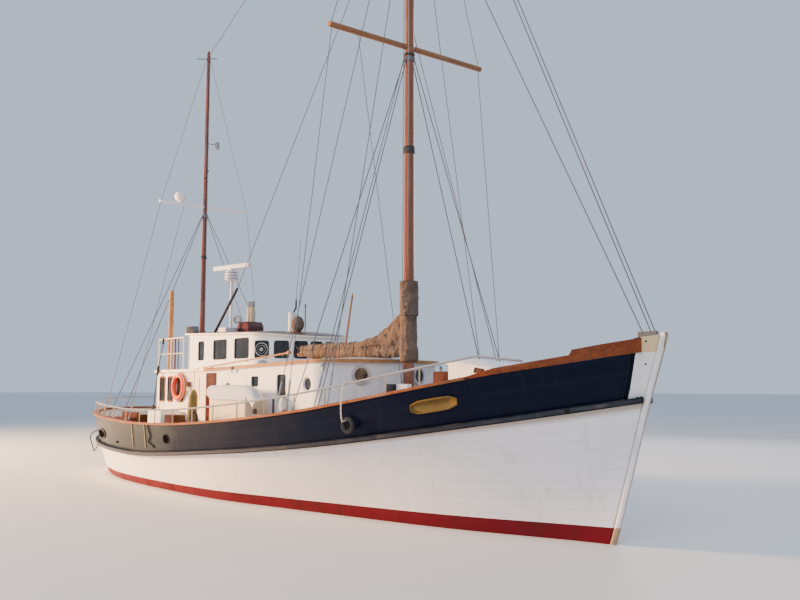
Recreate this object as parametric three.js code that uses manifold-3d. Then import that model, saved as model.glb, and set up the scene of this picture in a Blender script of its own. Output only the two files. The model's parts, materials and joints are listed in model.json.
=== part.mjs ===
// A wooden two-masted fishing trawler afloat, 20 m long, white over a dark red bottom.
// Frame: +X towards the bow, +Y to port, +Z up, origin amidships on the waterline. Millimetres.
import * as THREE from 'three';
import { mergeVertices } from 'three/addons/utils/BufferGeometryUtils.js';
import Module from 'manifold-3d';

const wasm = await Module();
wasm.setup();

// Driving dimensions.
const GAP = 0.5;                  // between solids that touch
const BULWARK = 75;               // thickness of the bulwark planking
const DECK = 40;                  // thickness of the deck planking
const WALL = 60;                  // thickness of the house walls
const ROOF = 70;                  // thickness of the house roofs
const MAIN_MAST = { x: 3750, radius: 128, taper: 0.62, sides: 20, top: 16900, crosstree: 9744, halfSpar: 2087 };
const MIZZEN = { x: -5700, radius: 88, taper: 0.6, sides: 16, top: 12400, crosstree: 7753, halfSpar: 1411 };
const HOUSE = { aft: -2200, fore: 3000, half: 1620, corner: 420, bulge: 200 };
const AFT_HOUSE = { aft: -5350, fore: -2200 - 2 * GAP, half: 1480 };
const WHEELHOUSE = { aft: -3730, shoulder: -500, bow: 800, half: 1350 };
const BOOM = { length: 3100, angle: 15, z: 3330 };
const RUDDER_X = -8550;
const PROPELLER = { x: -7850, z: -1500, radius: 470 };

const COLOURS = {
  white: [0xe9e7ea, 0.45], navy: [0x10131f, 0.3], antifouling: [0x5c0f16, 0.6],
  mahogany: [0x6d2513, 0.35], honey: [0xb9752f, 0.35], teak: [0x9c7048, 0.7],
  cream: [0xf1e6d2, 0.5], black: [0x15161a, 0.6], gold: [0xa9802b, 0.4],
  canvas: [0x6c4a2e, 0.9], steel: [0x8d9196, 0.4], bronze: [0x9a6f33, 0.35],
  orange: [0xd0502a, 0.6], rubber: [0x1b1b1d, 0.85], rope: [0xb9a988, 0.9],
};

const boat = new THREE.Group();

const vec = (x, y, z) => new THREE.Vector3(x, y, z);
const radians = THREE.MathUtils.degToRad;
const mix = (a, b, t) => a + (b - a) * t;

// Smooth curve through the rows of a table, without overshoot: value at key k.
function through(keys, values) {
  const step = keys.slice(1).map((k, i) => (values[i + 1] - values[i]) / (k - keys[i]));
  const slope = keys.map((k, i) => {
    if (i === 0) return step[0];
    if (i === keys.length - 1) return step[i - 1];
    const [a, b] = [step[i - 1], step[i]];
    return a * b <= 0 ? 0 : (2 * a * b) / (a + b);
  });
  return (k) => {
    let i = 0;
    while (i < keys.length - 2 && k > keys[i + 1]) i += 1;
    const h = keys[i + 1] - keys[i];
    const t = THREE.MathUtils.clamp((k - keys[i]) / h, 0, 1);
    const [t2, t3] = [t * t, t * t * t];
    return values[i] * (2 * t3 - 3 * t2 + 1) + slope[i] * h * (t3 - 2 * t2 + t)
      + values[i + 1] * (3 * t2 - 2 * t3) + slope[i + 1] * h * (t3 - t2);
  };
}

// Geometry from plain triangles, turned inside out where its volume comes out negative.
function fromTriangles(points, faces) {
  const volume = faces.reduce((sum, [a, b, c]) =>
    sum + points[a].dot(new THREE.Vector3().crossVectors(points[b], points[c])), 0);
  const index = faces.flatMap(([a, b, c]) => (volume > 0 ? [a, b, c] : [a, c, b]));
  const geometry = new THREE.BufferGeometry();
  geometry.setAttribute('position', new THREE.Float32BufferAttribute(points.flatMap((p) => p.toArray()), 3));
  geometry.setIndex(index);
  return geometry;
}

// Skin over rings with the same even number of points; each end is closed by strips across its ring.
function skin(rings, closed = false) {
  const n = rings[0].length;
  const faces = [];
  const spans = closed ? rings.length : rings.length - 1;
  for (let i = 0; i < spans; i += 1) {
    const [r, q] = [i * n, ((i + 1) % rings.length) * n];
    for (let j = 0; j < n; j += 1) {
      const k = (j + 1) % n;
      faces.push([r + j, r + k, q + k], [r + j, q + k, q + j]);
    }
  }
  const cap = (base, flip) => {
    for (let j = 0; j < n / 2 - 1; j += 1) {
      const quad = [base + j, base + j + 1, base + n - 2 - j, base + n - 1 - j];
      for (const [a, b, c] of [[quad[0], quad[1], quad[2]], [quad[0], quad[2], quad[3]]]) {
        faces.push(flip ? [a, b, c] : [a, c, b]);
      }
    }
  };
  if (!closed) {
    cap(0, false);
    cap((rings.length - 1) * n, true);
  }
  return fromTriangles(rings.flat(), faces);
}

function solid(geometry) {
  const bare = geometry.clone();
  for (const name of Object.keys(bare.attributes)) {
    if (name !== 'position') bare.deleteAttribute(name);
  }
  const merged = mergeVertices(bare, 1e-3);
  return new wasm.Manifold(new wasm.Mesh({
    numProp: 3,
    vertProperties: new Float32Array(merged.attributes.position.array),
    triVerts: new Uint32Array(merged.index.array),
  }));
}

function geometryOf(manifold) {
  const mesh = manifold.getMesh();
  const geometry = new THREE.BufferGeometry();
  geometry.setAttribute('position', new THREE.Float32BufferAttribute(mesh.vertProperties, 3));
  geometry.setIndex([...mesh.triVerts]);
  return geometry;
}

const join = (...parts) => geometryOf(parts.map(solid).reduce((a, b) => a.add(b)));
const cut = (body, ...tools) => geometryOf(tools.map(solid).reduce((a, b) => a.subtract(b), solid(body)));

function add(name, geometry, colour) {
  const [tint, roughness] = COLOURS[colour];
  const metalness = ['steel', 'bronze'].includes(colour) ? 0.8 : 0;
  const mesh = new THREE.Mesh(geometry, new THREE.MeshStandardMaterial({ color: tint, roughness, metalness }));
  mesh.name = name;
  boat.add(mesh);
  return mesh;
}

// Box from its lowest to its highest corner.
function box(x0, x1, y0, y1, z0, z1) {
  return new THREE.BoxGeometry(x1 - x0, y1 - y0, z1 - z0)
    .translate((x0 + x1) / 2, (y0 + y1) / 2, (z0 + z1) / 2);
}

// Round bar between two points, with a radius at each end.
function bar(from, to, radius, endRadius = radius, sides = 12) {
  const along = new THREE.Vector3().subVectors(to, from);
  const turn = new THREE.Quaternion().setFromUnitVectors(vec(0, 1, 0), along.clone().normalize());
  return new THREE.CylinderGeometry(endRadius, radius, along.length(), sides)
    .applyQuaternion(turn).translate(...from.clone().add(to).multiplyScalar(0.5).toArray());
}

// Tube with a round section along a smooth path.
function tube(points, radius, steps, sides = 8) {
  const circle = new THREE.EllipseCurve(0, 0, radius, radius, 0, 2 * Math.PI).getPoints(sides);
  const section = new THREE.Shape(circle.slice(0, -1));
  const path = new THREE.CatmullRomCurve3(points, false, 'centripetal');
  return new THREE.ExtrudeGeometry(section, { extrudePath: path, steps });
}

// Upright prism over a plan outline.
function prism(outline, z0, z1) {
  const shape = new THREE.Shape(outline.map(([x, y]) => new THREE.Vector2(x, y)));
  return new THREE.ExtrudeGeometry(shape, { depth: z1 - z0, bevelEnabled: false }).translate(0, 0, z0);
}

// Rounded rectangle, or a circle where radius is half of both sides, pushed along the wall's normal.
function windowTool(x, y, z, width, height, radius, facing, depth = 400) {
  const [a, b, r] = [width / 2, height / 2, Math.min(radius, width / 2 - 0.01)];
  const corners = [[a - r, b - r, 0], [r - a, b - r, 1], [r - a, r - b, 2], [a - r, r - b, 3]];
  const points = corners.flatMap(([cx, cy, turn]) => [0, 1, 2].map((k) => {
    const angle = (turn + k / 2) * Math.PI / 2;
    return new THREE.Vector2(cx + r * Math.cos(angle), cy + r * Math.sin(angle));
  }));
  return new THREE.ExtrudeGeometry(new THREE.Shape(points), { depth, bevelEnabled: false })
    .translate(0, 0, -depth / 2)
    .applyMatrix4(new THREE.Matrix4().makeBasis(
      vec(-Math.sin(facing), Math.cos(facing), 0), vec(0, 0, 1), vec(Math.cos(facing), Math.sin(facing), 0)))
    .translate(x, y, z);
}

// Hull frames. Columns: place along the hull from stern 0 to stem 1, then half-breadths at the
// garboard, bilge, waterline, boot top, deck edge and rail.
const FRAMES = [
  [0.0000, 90, 90, 50, 60, 60, 60],
  [0.0035, 90, 95, 500, 520, 590, 600],
  [0.0150, 90, 130, 1050, 1080, 1130, 1150],
  [0.0400, 90, 240, 1500, 1540, 1610, 1650],
  [0.1000, 90, 620, 1850, 1930, 2110, 2210],
  [0.2000, 95, 1330, 2200, 2290, 2540, 2620],
  [0.3000, 100, 1760, 2310, 2400, 2700, 2780],
  [0.4000, 100, 1900, 2320, 2410, 2765, 2840],
  [0.5000, 100, 1830, 2240, 2330, 2760, 2840],
  [0.6000, 100, 1540, 1920, 2010, 2680, 2780],
  [0.7000, 100, 1160, 1560, 1650, 2470, 2620],
  [0.8000, 95, 760, 1190, 1270, 2080, 2300],
  [0.8500, 90, 560, 960, 1040, 1770, 2020],
  [0.9000, 85, 370, 660, 730, 1340, 1600],
  [0.9500, 80, 200, 330, 380, 770, 980],
  [0.9750, 75, 130, 180, 215, 430, 580],
  [1.0000, 60, 60, 60, 60, 60, 60],
];
const PLACES = FRAMES.map((row) => row[0]);
const breadth = [1, 2, 3, 4, 5, 6].map((column) => through(PLACES, FRAMES.map((row) => row[column])));

// Heights of the deck edge and the rail. Columns: place, deck edge, rail.
const SHEER = [
  [0.00, 1080, 1830], [0.10, 960, 1690], [0.20, 890, 1630], [0.30, 868, 1570], [0.40, 950, 1595],
  [0.50, 1085, 1690], [0.60, 1235, 1840], [0.70, 1425, 2050], [0.80, 1670, 2350], [0.90, 1970, 2700],
  [0.95, 2140, 2870], [1.00, 2330, 3080],
];
const deckHeight = through(SHEER.map((row) => row[0]), SHEER.map((row) => row[1]));
const railHeight = through(SHEER.map((row) => row[0]), SHEER.map((row) => row[2]));

// Hull levels from the garboard up: aft end, fore end and height.
const LEVELS = [
  { aft: -7450, fore: 8250, height: (s) => mix(-1900, -1000, s) },
  { aft: -7600, fore: 8620, height: (s) => mix(-850, -560, s) },
  { aft: -9200, fore: 8870, height: () => 0 },
  { aft: -9320, fore: 8965, height: (s) => mix(195, 270, Math.max(0, s - 0.4) / 0.6) },
  { aft: -9820, fore: 9600, height: deckHeight },
  { aft: -10000, fore: 9860, height: railHeight },
];
const [GARBOARD, BOOT, DECK_EDGE, RAIL] = [0, 3, 4, 5];
const KEEL = { aft: -7450, fore: 7950, depth: 400, foreDepth: 330 };

// Point of the starboard side at a place and a level, whole levels being those above.
function side(s, level) {
  const point = (i) => vec(mix(LEVELS[i].aft, LEVELS[i].fore, s), -breadth[i](s), LEVELS[i].height(s));
  if (level >= DECK_EDGE) return point(DECK_EDGE).lerp(point(RAIL), level - DECK_EDGE);
  const curve = new THREE.CatmullRomCurve3(LEVELS.slice(0, 5).map((_, i) => point(i)), false, 'centripetal');
  return curve.getPoint(level / 4);
}

// Level outward direction of the side at a place and a level.
function outward(s, level) {
  const reach = 0.002;
  const [a, b] = [side(Math.max(0, s - reach), level), side(Math.min(1, s + reach), level)];
  return vec(b.y - a.y, a.x - b.x, 0).normalize();
}

const offset = (s, level, out, up = 0) =>
  side(s, level).addScaledVector(outward(s, level), out).add(vec(0, 0, up));
const mirrored = (p) => vec(p.x, -p.y, p.z);

// Places of the hull's sections; the cap rail ends and the wash strake starts at STRAKE, and the
// white panels of the bow start at PANEL.
const [STRAKE, PANEL] = [0.877, 0.987];
const HULL_PLACES = [0, 0.0035, 0.009, 0.015, 0.025, 0.04, 0.065, 0.1, 0.15, 0.2, 0.25, 0.3, 0.35, 0.4, 0.45,
  0.5, 0.55, 0.6, 0.65, 0.7, 0.75, 0.8, 0.842, STRAKE, 0.9, 0.925, 0.951, 0.953, 0.97, PANEL, 1];
const upTo = (end) => HULL_PLACES.filter((s) => s <= end);

// Body between both sides: lines(s) gives the starboard points from low to high.
function between(places, lines) {
  return skin(places.map((s) => {
    const points = lines(s);
    return [...points, ...points.map(mirrored).reverse()];
  }));
}

// Band round the hull: section(s) gives the starboard ring; it runs on round the stern to port.
function band(places, section) {
  const rings = places.map(section);
  return skin([...[...rings].reverse(), ...rings.map((ring) => ring.map(mirrored))]);
}

// Outer volume of the whole hull up to the rail, grown by a gap.
function hullVolume(gap) {
  return between(HULL_PLACES, (s) => [2, 2.5, 3, 3.25, 3.5, 3.75, 4, 5].map((level) => offset(s, level, gap)));
}

// Outer volume of the stem, grown by a gap.
function stemVolume(gap) {
  const levels = [0, 0.5, 1, 1.35, 1.7, 2, 2.5, 3, 3.25, 3.5, 3.75, 4, 5];
  const profile = [...levels.map((level) => side(1, level)), side(1, RAIL).add(vec(78, 0, 280))];
  const corners = [[2 - gap, -60 - gap], [105 + gap, -48 - gap], [105 + gap, 48 + gap], [2 - gap, 60 + gap]];
  return skin(profile.map((p) => corners.map(([x, y]) => vec(p.x + x, y, p.z))));
}

// Ring of the bulwark's planking at a place, grown by a gap.
const bulwarkRing = (s, gap) => [offset(s, DECK_EDGE, gap, GAP - gap), offset(s, RAIL, gap, gap),
  offset(s, RAIL, -BULWARK - gap, gap), offset(s, DECK_EDGE, -BULWARK - gap, GAP - gap)];

// Ring of the cap rail at a place, raised by a gap.
const capRing = (s, gap) => [offset(s, RAIL, 35 + gap, -5 - gap), offset(s, RAIL, 35 + gap, 45 + gap),
  offset(s, RAIL, -BULWARK - 45 - gap, 45 + gap), offset(s, RAIL, -BULWARK - 45 - gap, -5 - gap)];
const capVolume = () => band(upTo(STRAKE), (s) => capRing(s, GAP));
const DECKED = upTo(0.98);

const wallVolume = () => band(upTo(PANEL), (s) => bulwarkRing(s, 2 * GAP));

// Height of the deck's top at a length x.
const deckTop = (x) => {
  const { aft, fore } = LEVELS[DECK_EDGE];
  return deckHeight((x - aft) / (fore - aft)) + DECK;
};

// Long body in lengths along the hull, so that each one follows the sheer or keeps a square corner.
function inLengths(name, geometry, cuts, colour, parts = ['aft', 'mid', 'fore']) {
  const ends = [-12000, ...cuts, 12000];
  for (const [i, part] of parts.entries()) {
    const slice = box(ends[i] + GAP / 2, ends[i + 1] - GAP / 2, -4000, 4000, -3000, 5000);
    add(`${name}_${part}`, geometryOf(solid(geometry).intersect(solid(slice))), colour);
  }
}

function hull() {
  const bottom = between(HULL_PLACES, (s) => {
    const keelEnd = mix(KEEL.aft, KEEL.fore, s);
    const keel = side(s, GARBOARD);
    keel.x = keelEnd;
    keel.z -= mix(KEEL.depth, KEEL.foreDepth, s);
    return [keel, ...[0, 0.5, 1, 1.35, 1.7, 2, 2.5, 3].map((level) => side(s, level))];
  });
  const trunk = (radius, top) => bar(vec(RUDDER_X, 0, -660), vec(RUDDER_X, 0, top), radius, radius, 16);
  const shaftHole = bar(vec(PROPELLER.x, 0, PROPELLER.z), vec(PROPELLER.x + 640, 0, PROPELLER.z), 38, 38, 16);
  add('hull_bottom', cut(join(bottom, trunk(90, -50)), trunk(56, -150), shaftHole), 'antifouling');
  const topsides = between(HULL_PLACES, (s) =>
    [0, 0.25, 0.5, 0.75, 1].map((t) => side(s, BOOT + t).add(vec(0, 0, t ? 0 : GAP))));
  inLengths('hull_topsides', topsides, [-2000, 3000], 'white');
  add('stem_post', stemVolume(0), 'honey');
}

function bulwarks() {
  add('bulwark', band(upTo(PANEL), (s) => bulwarkRing(s, 0)), 'navy');
  const panel = between([PANEL + 0.0001, 1], (s) => [offset(s, DECK_EDGE, 0, GAP), side(s, RAIL),
    side(s, RAIL).add(vec(60, 0, 235))]);
  add('bow_panel', panel, 'white');
  const rub = band(HULL_PLACES, (s) => [offset(s, DECK_EDGE, -20, -75), offset(s, DECK_EDGE, 75, -75),
    offset(s, DECK_EDGE, 75, 25), offset(s, DECK_EDGE, -20, 25)]);
  add('rub_strake', cut(rub, hullVolume(GAP), wallVolume(), stemVolume(GAP)), 'black');
  add('cap_rail', cut(band(upTo(STRAKE), (s) => capRing(s, 0)), wallVolume()), 'honey');
  // The wash strake rises on the bow.
  const height = through([STRAKE, 0.886, 0.925, 0.951, 0.953, 0.97, PANEL], [46, 100, 118, 128, 205, 215, 228]);
  for (const [name, flip] of [['wash_strake_starboard', false], ['wash_strake_port', true]]) {
    const places = HULL_PLACES.filter((s) => s > STRAKE && s < PANEL);
    places.unshift(STRAKE + 0.0003);
    places.push(PANEL - 0.0008);
    const rings = places.map((s) => {
      const ring = [offset(s, RAIL, 0, 2), offset(s, RAIL, height(s) * 0.1, height(s)),
        offset(s, RAIL, height(s) * 0.1 - 60, height(s)), offset(s, RAIL, -60, 2)];
      return flip ? ring.map(mirrored) : ring;
    });
    add(name, cut(skin(rings), wallVolume()), 'mahogany');
  }
  const planks = between(DECKED, (s) => [offset(s, DECK_EDGE, -BULWARK - 2, GAP),
    offset(s, DECK_EDGE, -BULWARK - 2, DECK)]);
  inLengths('deck', planks, [-1900, 4000], 'teak');
}

// Everything below the deck's top, to trim what stands on it.
function belowDeck() {
  return between(DECKED, (s) => [offset(s, DECK_EDGE, -BULWARK - 2, -1500),
    offset(s, DECK_EDGE, -BULWARK - 2, DECK + GAP)]);
}

function nameBoards() {
  // Blank gilt boards on the bows, 30 mm thick.
  const places = [0.8267, 0.8333, 0.842, 0.851, 0.8621, 0.8694];
  const tall = [0.08, 0.15, 0.158, 0.158, 0.15, 0.08];
  for (const [name, flip] of [['name_board_starboard', false], ['name_board_port', true]]) {
    const rings = places.map((s, i) => {
      const [low, high] = [DECK_EDGE + 0.54 - tall[i], DECK_EDGE + 0.54 + tall[i]];
      const ring = [offset(s, low, -10), offset(s, low, 30), offset(s, high, 30), offset(s, high, -10)];
      return flip ? ring.map(mirrored) : ring;
    });
    add(name, cut(skin(rings), wallVolume()), 'gold');
  }
}

function sternGear() {
  const heel = box(KEEL.aft - 1250, KEEL.aft - GAP, -45, 45, -2300, -2210);
  add('rudder_heel', heel, 'antifouling');
  const blade = new THREE.Shape([[-8440, -2180], [-8440, -900], [-8600, -780], [-9180, -780],
    [-9260, -1400], [-9120, -2180]]
    .map(([x, z]) => new THREE.Vector2(x, z)));
  const plate = new THREE.ExtrudeGeometry(blade, { depth: 70, bevelEnabled: false })
    .rotateX(Math.PI / 2).translate(0, 35, 0);
  add('rudder', join(plate, bar(vec(RUDDER_X, 0, -2190), vec(RUDDER_X, 0, -200), 48, 48, 16)), 'antifouling');
  const { x, z, radius } = PROPELLER;
  const hub = new THREE.LatheGeometry([[0, -150], [45, -130], [85, -60], [85, 130], [32, 150], [32, 600],
    [0, 600]]
    .map(([r, h]) => new THREE.Vector2(r, h)), 20).rotateZ(-Math.PI / 2);
  const blades = [0, 1, 2, 3].map((k) => {
    const outline = [[0, -60], [150, -150], [330, -190], [440, -120], [radius, 20], [410, 150], [260, 170],
      [0, 60]];
    const shape = new THREE.Shape(outline.map(([r, w]) => new THREE.Vector2(w, r)));
    return new THREE.ExtrudeGeometry(shape, { depth: 16, bevelEnabled: false })
      .translate(0, 0, -8).rotateY(radians(58)).rotateX(k * Math.PI / 2);
  });
  add('propeller', join(hub, ...blades).translate(x, 0, z), 'bronze');
}

// Plan outline of a house with a flat stern, straight sides and a rounded bow, pulled in by inset.
function houseOutline({ aft, fore, half, corner = 1, bulge = 0 }, inset = 0) {
  const radius = Math.max(corner - inset, 1);
  const [front, halfWidth] = [fore - inset, half - inset];
  const arc = corner > 1 ? [0, 1, 2, 3, 4].map((k) => k * 22.5) : [45];
  const starboard = arc.map((angle) => [
    front - radius + radius * Math.sin(radians(angle)),
    -halfWidth + radius - radius * Math.cos(radians(angle))]);
  const nose = bulge ? [[front + bulge * 0.75, -halfWidth * 0.37], [front + bulge, 0]] : [];
  const right = [[aft + inset, -halfWidth], ...starboard, ...nose];
  const left = right.filter(([, y]) => y !== 0).map(([x, y]) => [x, -y]).reverse();
  return [...right, ...left];
}

// Cambered roof from rows of length, half-breadth, edge height and camber.
const crossing = [-1, -0.5, 0, 0.5, 1];
const crownAt = ([, , z, camber], t) => z + camber * (1 - t * t);
function roof(rows, thickness) {
  return skin(rows.map((row) => {
    const line = (dz) => crossing.map((t) => vec(row[0], t * row[1], crownAt(row, t) + dz));
    return [...line(-thickness), ...line(0).reverse()];
  }));
}

// All that lies above a surface this far under the top of a roof, and beyond its eaves.
function aboveRoof(rows, depth) {
  const eaves = 400;
  return skin(rows.map((row) => {
    const line = crossing.map((t) => vec(row[0], t * row[1], crownAt(row, t) - depth));
    line.unshift(line[0].clone().add(vec(0, -eaves, 0)));
    line.push(line[line.length - 1].clone().add(vec(0, eaves, 0)));
    return [...line, ...line.map((p) => p.clone().setZ(5000)).reverse()];
  }));
}

// All that lies under the top of a roof, for what stands on it.
const underRoof = (rows) => roof(rows.map(([x, half, z, camber]) => [x, half, z + GAP, camber]), 600);

const HOUSE_ROOF = [
  [-5420, 1540, 2950, 60], [-2201, 1540, 2950, 60], [-2200, 1680, 2950, 60], [0, 1680, 3000, 60],
  [2600, 1680, 3068, 60], [2850, 1620, 3072, 58], [3060, 1430, 3076, 45], [3160, 1200, 3078, 33],
  [3225, 700, 3079, 14], [3255, 300, 3080, 4],
];
const WHEELHOUSE_ROOF = [
  [-3810, 1430, 3900, 80], [-2200, 1430, 3840, 80], [-500, 1430, 3780, 80], [-270, 1381, 3770, 75],
  [-60, 1240, 3758, 62], [124, 1010, 3742, 42], [265, 700, 3726, 20], [345, 360, 3715, 6], [372, 160, 3710, 1],
];

function deckhouse() {
  const trim = [belowDeck(), aboveRoof(HOUSE_ROOF, ROOF + GAP)];
  const port = (x, z) => [1, -1].map((hand) => windowTool(x, hand * HOUSE.half, z, 330, 330, 165, Math.PI / 2));
  const tools = [port(-1050, 2440), port(2390, 2555)].flat();
  for (const hand of [1, -1]) {
    tools.push(windowTool(225, hand * HOUSE.half, 2620, 330, 240, 40, Math.PI / 2));
    tools.push(windowTool(1370, hand * HOUSE.half, 2525, 380, 490, 60, Math.PI / 2));
    tools.push(windowTool(-1890, hand * HOUSE.half, 1985, 576, 1706, 5, Math.PI / 2));
    tools.push(windowTool(HOUSE.fore + 160, hand * 700, 2745, 240, 240, 120, 0));
  }
  const shell = cut(prism(houseOutline(HOUSE), 500, 3300), prism(houseOutline(HOUSE, WALL), 400, 3400),
    ...trim, ...tools);
  add('deckhouse_walls', shell, 'white');
  const aft = cut(prism(houseOutline(AFT_HOUSE), 500, 3300),
    prism(houseOutline(AFT_HOUSE, WALL), 400, 3400), ...trim,
    ...[-2700, -3300, -3900, -4500, -5000].flatMap((x) => [1, -1].map((hand) =>
      windowTool(x, hand * AFT_HOUSE.half, 2440, 300, 620, 40, Math.PI / 2))),
    windowTool(AFT_HOUSE.aft, 650, 1985, 606, 1706, 5, 0),
    windowTool(AFT_HOUSE.aft, -700, 2440, 420, 500, 40, 0));
  inLengths('aft_house', aft, [AFT_HOUSE.aft + WALL], 'cream', ['end', 'walls']);
  // The roof has a well under the wheelhouse, so that a helmsman stands up.
  const well = prism(houseOutline({ aft: -2100, fore: -350, half: 1000 }), 2000, 4000);
  add('house_roof', cut(roof(HOUSE_ROOF, ROOF), well), 'honey');
}

function wheelhouse() {
  const ellipse = (angle, inset) => [WHEELHOUSE.shoulder + (WHEELHOUSE.bow - inset) * Math.cos(angle),
    (WHEELHOUSE.half - inset) * Math.sin(angle)];
  const outline = (inset) => [[WHEELHOUSE.aft + inset, -WHEELHOUSE.half + inset],
    ...Array.from({ length: 17 }, (_, k) => ellipse(radians(-90 + k * 11.25), inset)),
    [WHEELHOUSE.aft + inset, WHEELHOUSE.half - inset]];
  const shell = cut(prism(outline(0), 2800, 4200), prism(outline(WALL), 2700, 4300));
  const [below, above] = [underRoof(HOUSE_ROOF), aboveRoof(WHEELHOUSE_ROOF, 50 + GAP)];
  // Side windows. Columns: centre, width.
  const sideWindows = [[-3020, 360], [-2000, 740], [-910, 740]];
  const frontWindows = [-66, -40, -18, 0, 18, 40, 66];
  const tools = [below, above];
  for (const [x, width] of sideWindows) {
    for (const hand of [1, -1]) {
      tools.push(windowTool(x, hand * WHEELHOUSE.half, 3415, width, 500, 60, Math.PI / 2));
    }
  }
  for (const angle of frontWindows.map(radians)) {
    const [x, y] = ellipse(angle, WALL / 2);
    const facing = Math.atan2(Math.sin(angle) / WHEELHOUSE.half, Math.cos(angle) / WHEELHOUSE.bow);
    tools.push(windowTool(x, y, 3370, 360, 420, 55, facing, 200));
  }
  for (const y of [-700, 700]) tools.push(windowTool(WHEELHOUSE.aft, y, 3415, 620, 480, 60, 0));
  add('wheelhouse_walls', cut(shell, ...tools), 'white');
  add('wheelhouse_roof', roof(WHEELHOUSE_ROOF, 50), 'mahogany');
}

// Leaf of a door, 4 mm clear of its frame all round.
function doors() {
  const leaf = 45;
  for (const [name, hand] of [['door_starboard', -1], ['door_port', 1]]) {
    const [low, high] = hand > 0
      ? [HOUSE.half - 8 - leaf, HOUSE.half - 8]
      : [8 - HOUSE.half, 8 - HOUSE.half + leaf];
    add(name, box(-2172, -1612, low, high, 1138, 2832), 'mahogany');
  }
  add('door_aft', box(AFT_HOUSE.aft + 8, AFT_HOUSE.aft + 8 + leaf, 357, 947, 1138, 2832), 'mahogany');
}

function foredeck() {
  const companion = { aft: 5500, fore: 6700, half: 470 };
  const rows = [[5460, 510, 2960, 90], [6100, 510, 2920, 90], [6740, 510, 2820, 90]];
  const shell = cut(prism(houseOutline(companion), 1000, 3200), prism(houseOutline(companion, 40), 900, 3300),
    aboveRoof(rows, 20), belowDeck(),
    windowTool(5500, 0, 2300, 640, 1010, 5, 0), windowTool(5800, 470, 2600, 160, 160, 80, Math.PI / 2),
    windowTool(5800, -470, 2600, 160, 160, 80, Math.PI / 2));
  add('companion', join(shell, roof(rows, 30)), 'white');
  add('companion_door', box(5504, 5534, -314, 314, 1802, 2798), 'mahogany');
  const chest = cut(box(5000, 5440, -420, -330, 1300, 2800), belowDeck());
  add('companion_rail', chest, 'mahogany');
  const winch = { x: 8000, half: 330, z: deckTop(8000) };
  const cheeks = [-290, 250].map((y) => box(7860, 8140, y, y + 40, winch.z - 90, winch.z + 430));
  const bed = cut(join(box(7800, 8200, -300, 300, winch.z - 90, winch.z + 60), ...cheeks),
    belowDeck(), bar(vec(8000, -400, winch.z + 320), vec(8000, 400, winch.z + 320), 40, 40, 20));
  add('windlass', bed, 'black');
  const drum = join(bar(vec(8000, -420, winch.z + 320), vec(8000, 420, winch.z + 320), 34, 34, 20),
    bar(vec(8000, -235, winch.z + 320), vec(8000, 235, winch.z + 320), 110, 110, 20),
    ...[-1, 1].map((hand) => bar(vec(8000, hand * 300, winch.z + 320),
      vec(8000, hand * 430, winch.z + 320), 80, 110, 20)));
  add('windlass_drum', drum, 'steel');
}

// Radius of a mast at a height.
const mastRadius = (mast, z) => mast.radius * mix(1, mast.taper, (z - 800) / (mast.top - 800));

function masts() {
  // Each mast carries a crosstree that runs through it.
  const seat = vec(MIZZEN.x, -780, MIZZEN.crosstree);
  const dome = new THREE.SphereGeometry(170, 14, 8).scale(1, 1, 0.9).translate(seat.x, seat.y, seat.z + 205);
  const foot = bar(seat, seat.clone().add(vec(0, 0, 120)), 60, 60, 10);
  // Columns: name, mast, colour, radius of the crosstree, its colour, what it carries.
  const rows = [['main', MAIN_MAST, 'honey', 62, 'honey', []],
    ['mizzen', MIZZEN, 'mahogany', 42, 'white', [foot, dome]]];
  for (const [name, mast, colour, size, sparColour, load] of rows) {
    const spar = (grow) => bar(vec(mast.x, -mast.halfSpar, mast.crosstree),
      vec(mast.x, mast.halfSpar, mast.crosstree),
      size + grow, size + grow, 10);
    const pole = bar(vec(mast.x, 0, 800), vec(mast.x, 0, mast.top), mast.radius, mast.radius * mast.taper,
      mast.sides);
    const truck = bar(vec(mast.x, 0, mast.top - 50), vec(mast.x, 0, mast.top + 70), 52, 22, 12);
    add(`${name}_mast`, join(cut(pole, belowDeck(), spar(GAP)), truck), colour);
    add(`${name}_crosstree`, join(spar(0), ...load), sparColour);
  }
}

function boom() {
  const angle = radians(180 + BOOM.angle);
  const along = (d, up = 0, out = 0) => vec(MAIN_MAST.x + d * Math.cos(angle) - out * Math.sin(angle),
    d * Math.sin(angle) + out * Math.cos(angle), BOOM.z + up);
  const collar = (inner, outer, z0, z1) => cut(
    bar(vec(MAIN_MAST.x, 0, z0), vec(MAIN_MAST.x, 0, z1), outer, outer, 20),
    bar(vec(MAIN_MAST.x, 0, z0 - 10), vec(MAIN_MAST.x, 0, z1 + 10), inner, inner, 20));
  const spar = join(collar(136, 160, BOOM.z - 130, BOOM.z - 70),
    bar(along(145, -100), along(BOOM.length, -100), 55, 45, 12));
  add('boom', spar, 'honey');
  // Furled sail: a bundle on the boom and a web of canvas up to the mast. Columns: run, half-breadth,
  // low, high.
  const bundle = [[170, 90, -40, 800], [420, 110, -42, 560], [800, 120, -43, 300], [1300, 125, -44, 175],
    [2000, 125, -45, 160], [2700, 120, -46, 150], [3060, 80, -40, 110]];
  const rings = bundle.map(([d, half, low, high]) => [[low, -half * 0.6], [low + (high - low) * 0.3, -half],
    [high - 40, -half * 0.7], [high, 0], [high - 40, half * 0.7], [low + (high - low) * 0.3, half],
    [low, half * 0.6], [low, 0]]
    .map(([up, out]) => along(d, up, out)));
  const wraps = [collar(142, 190, BOOM.z - 40, BOOM.z + 660), collar(142, 215, BOOM.z + 640, BOOM.z + 1380)];
  add('furled_sail', join(skin(rings), ...wraps), 'canvas');
}

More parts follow.
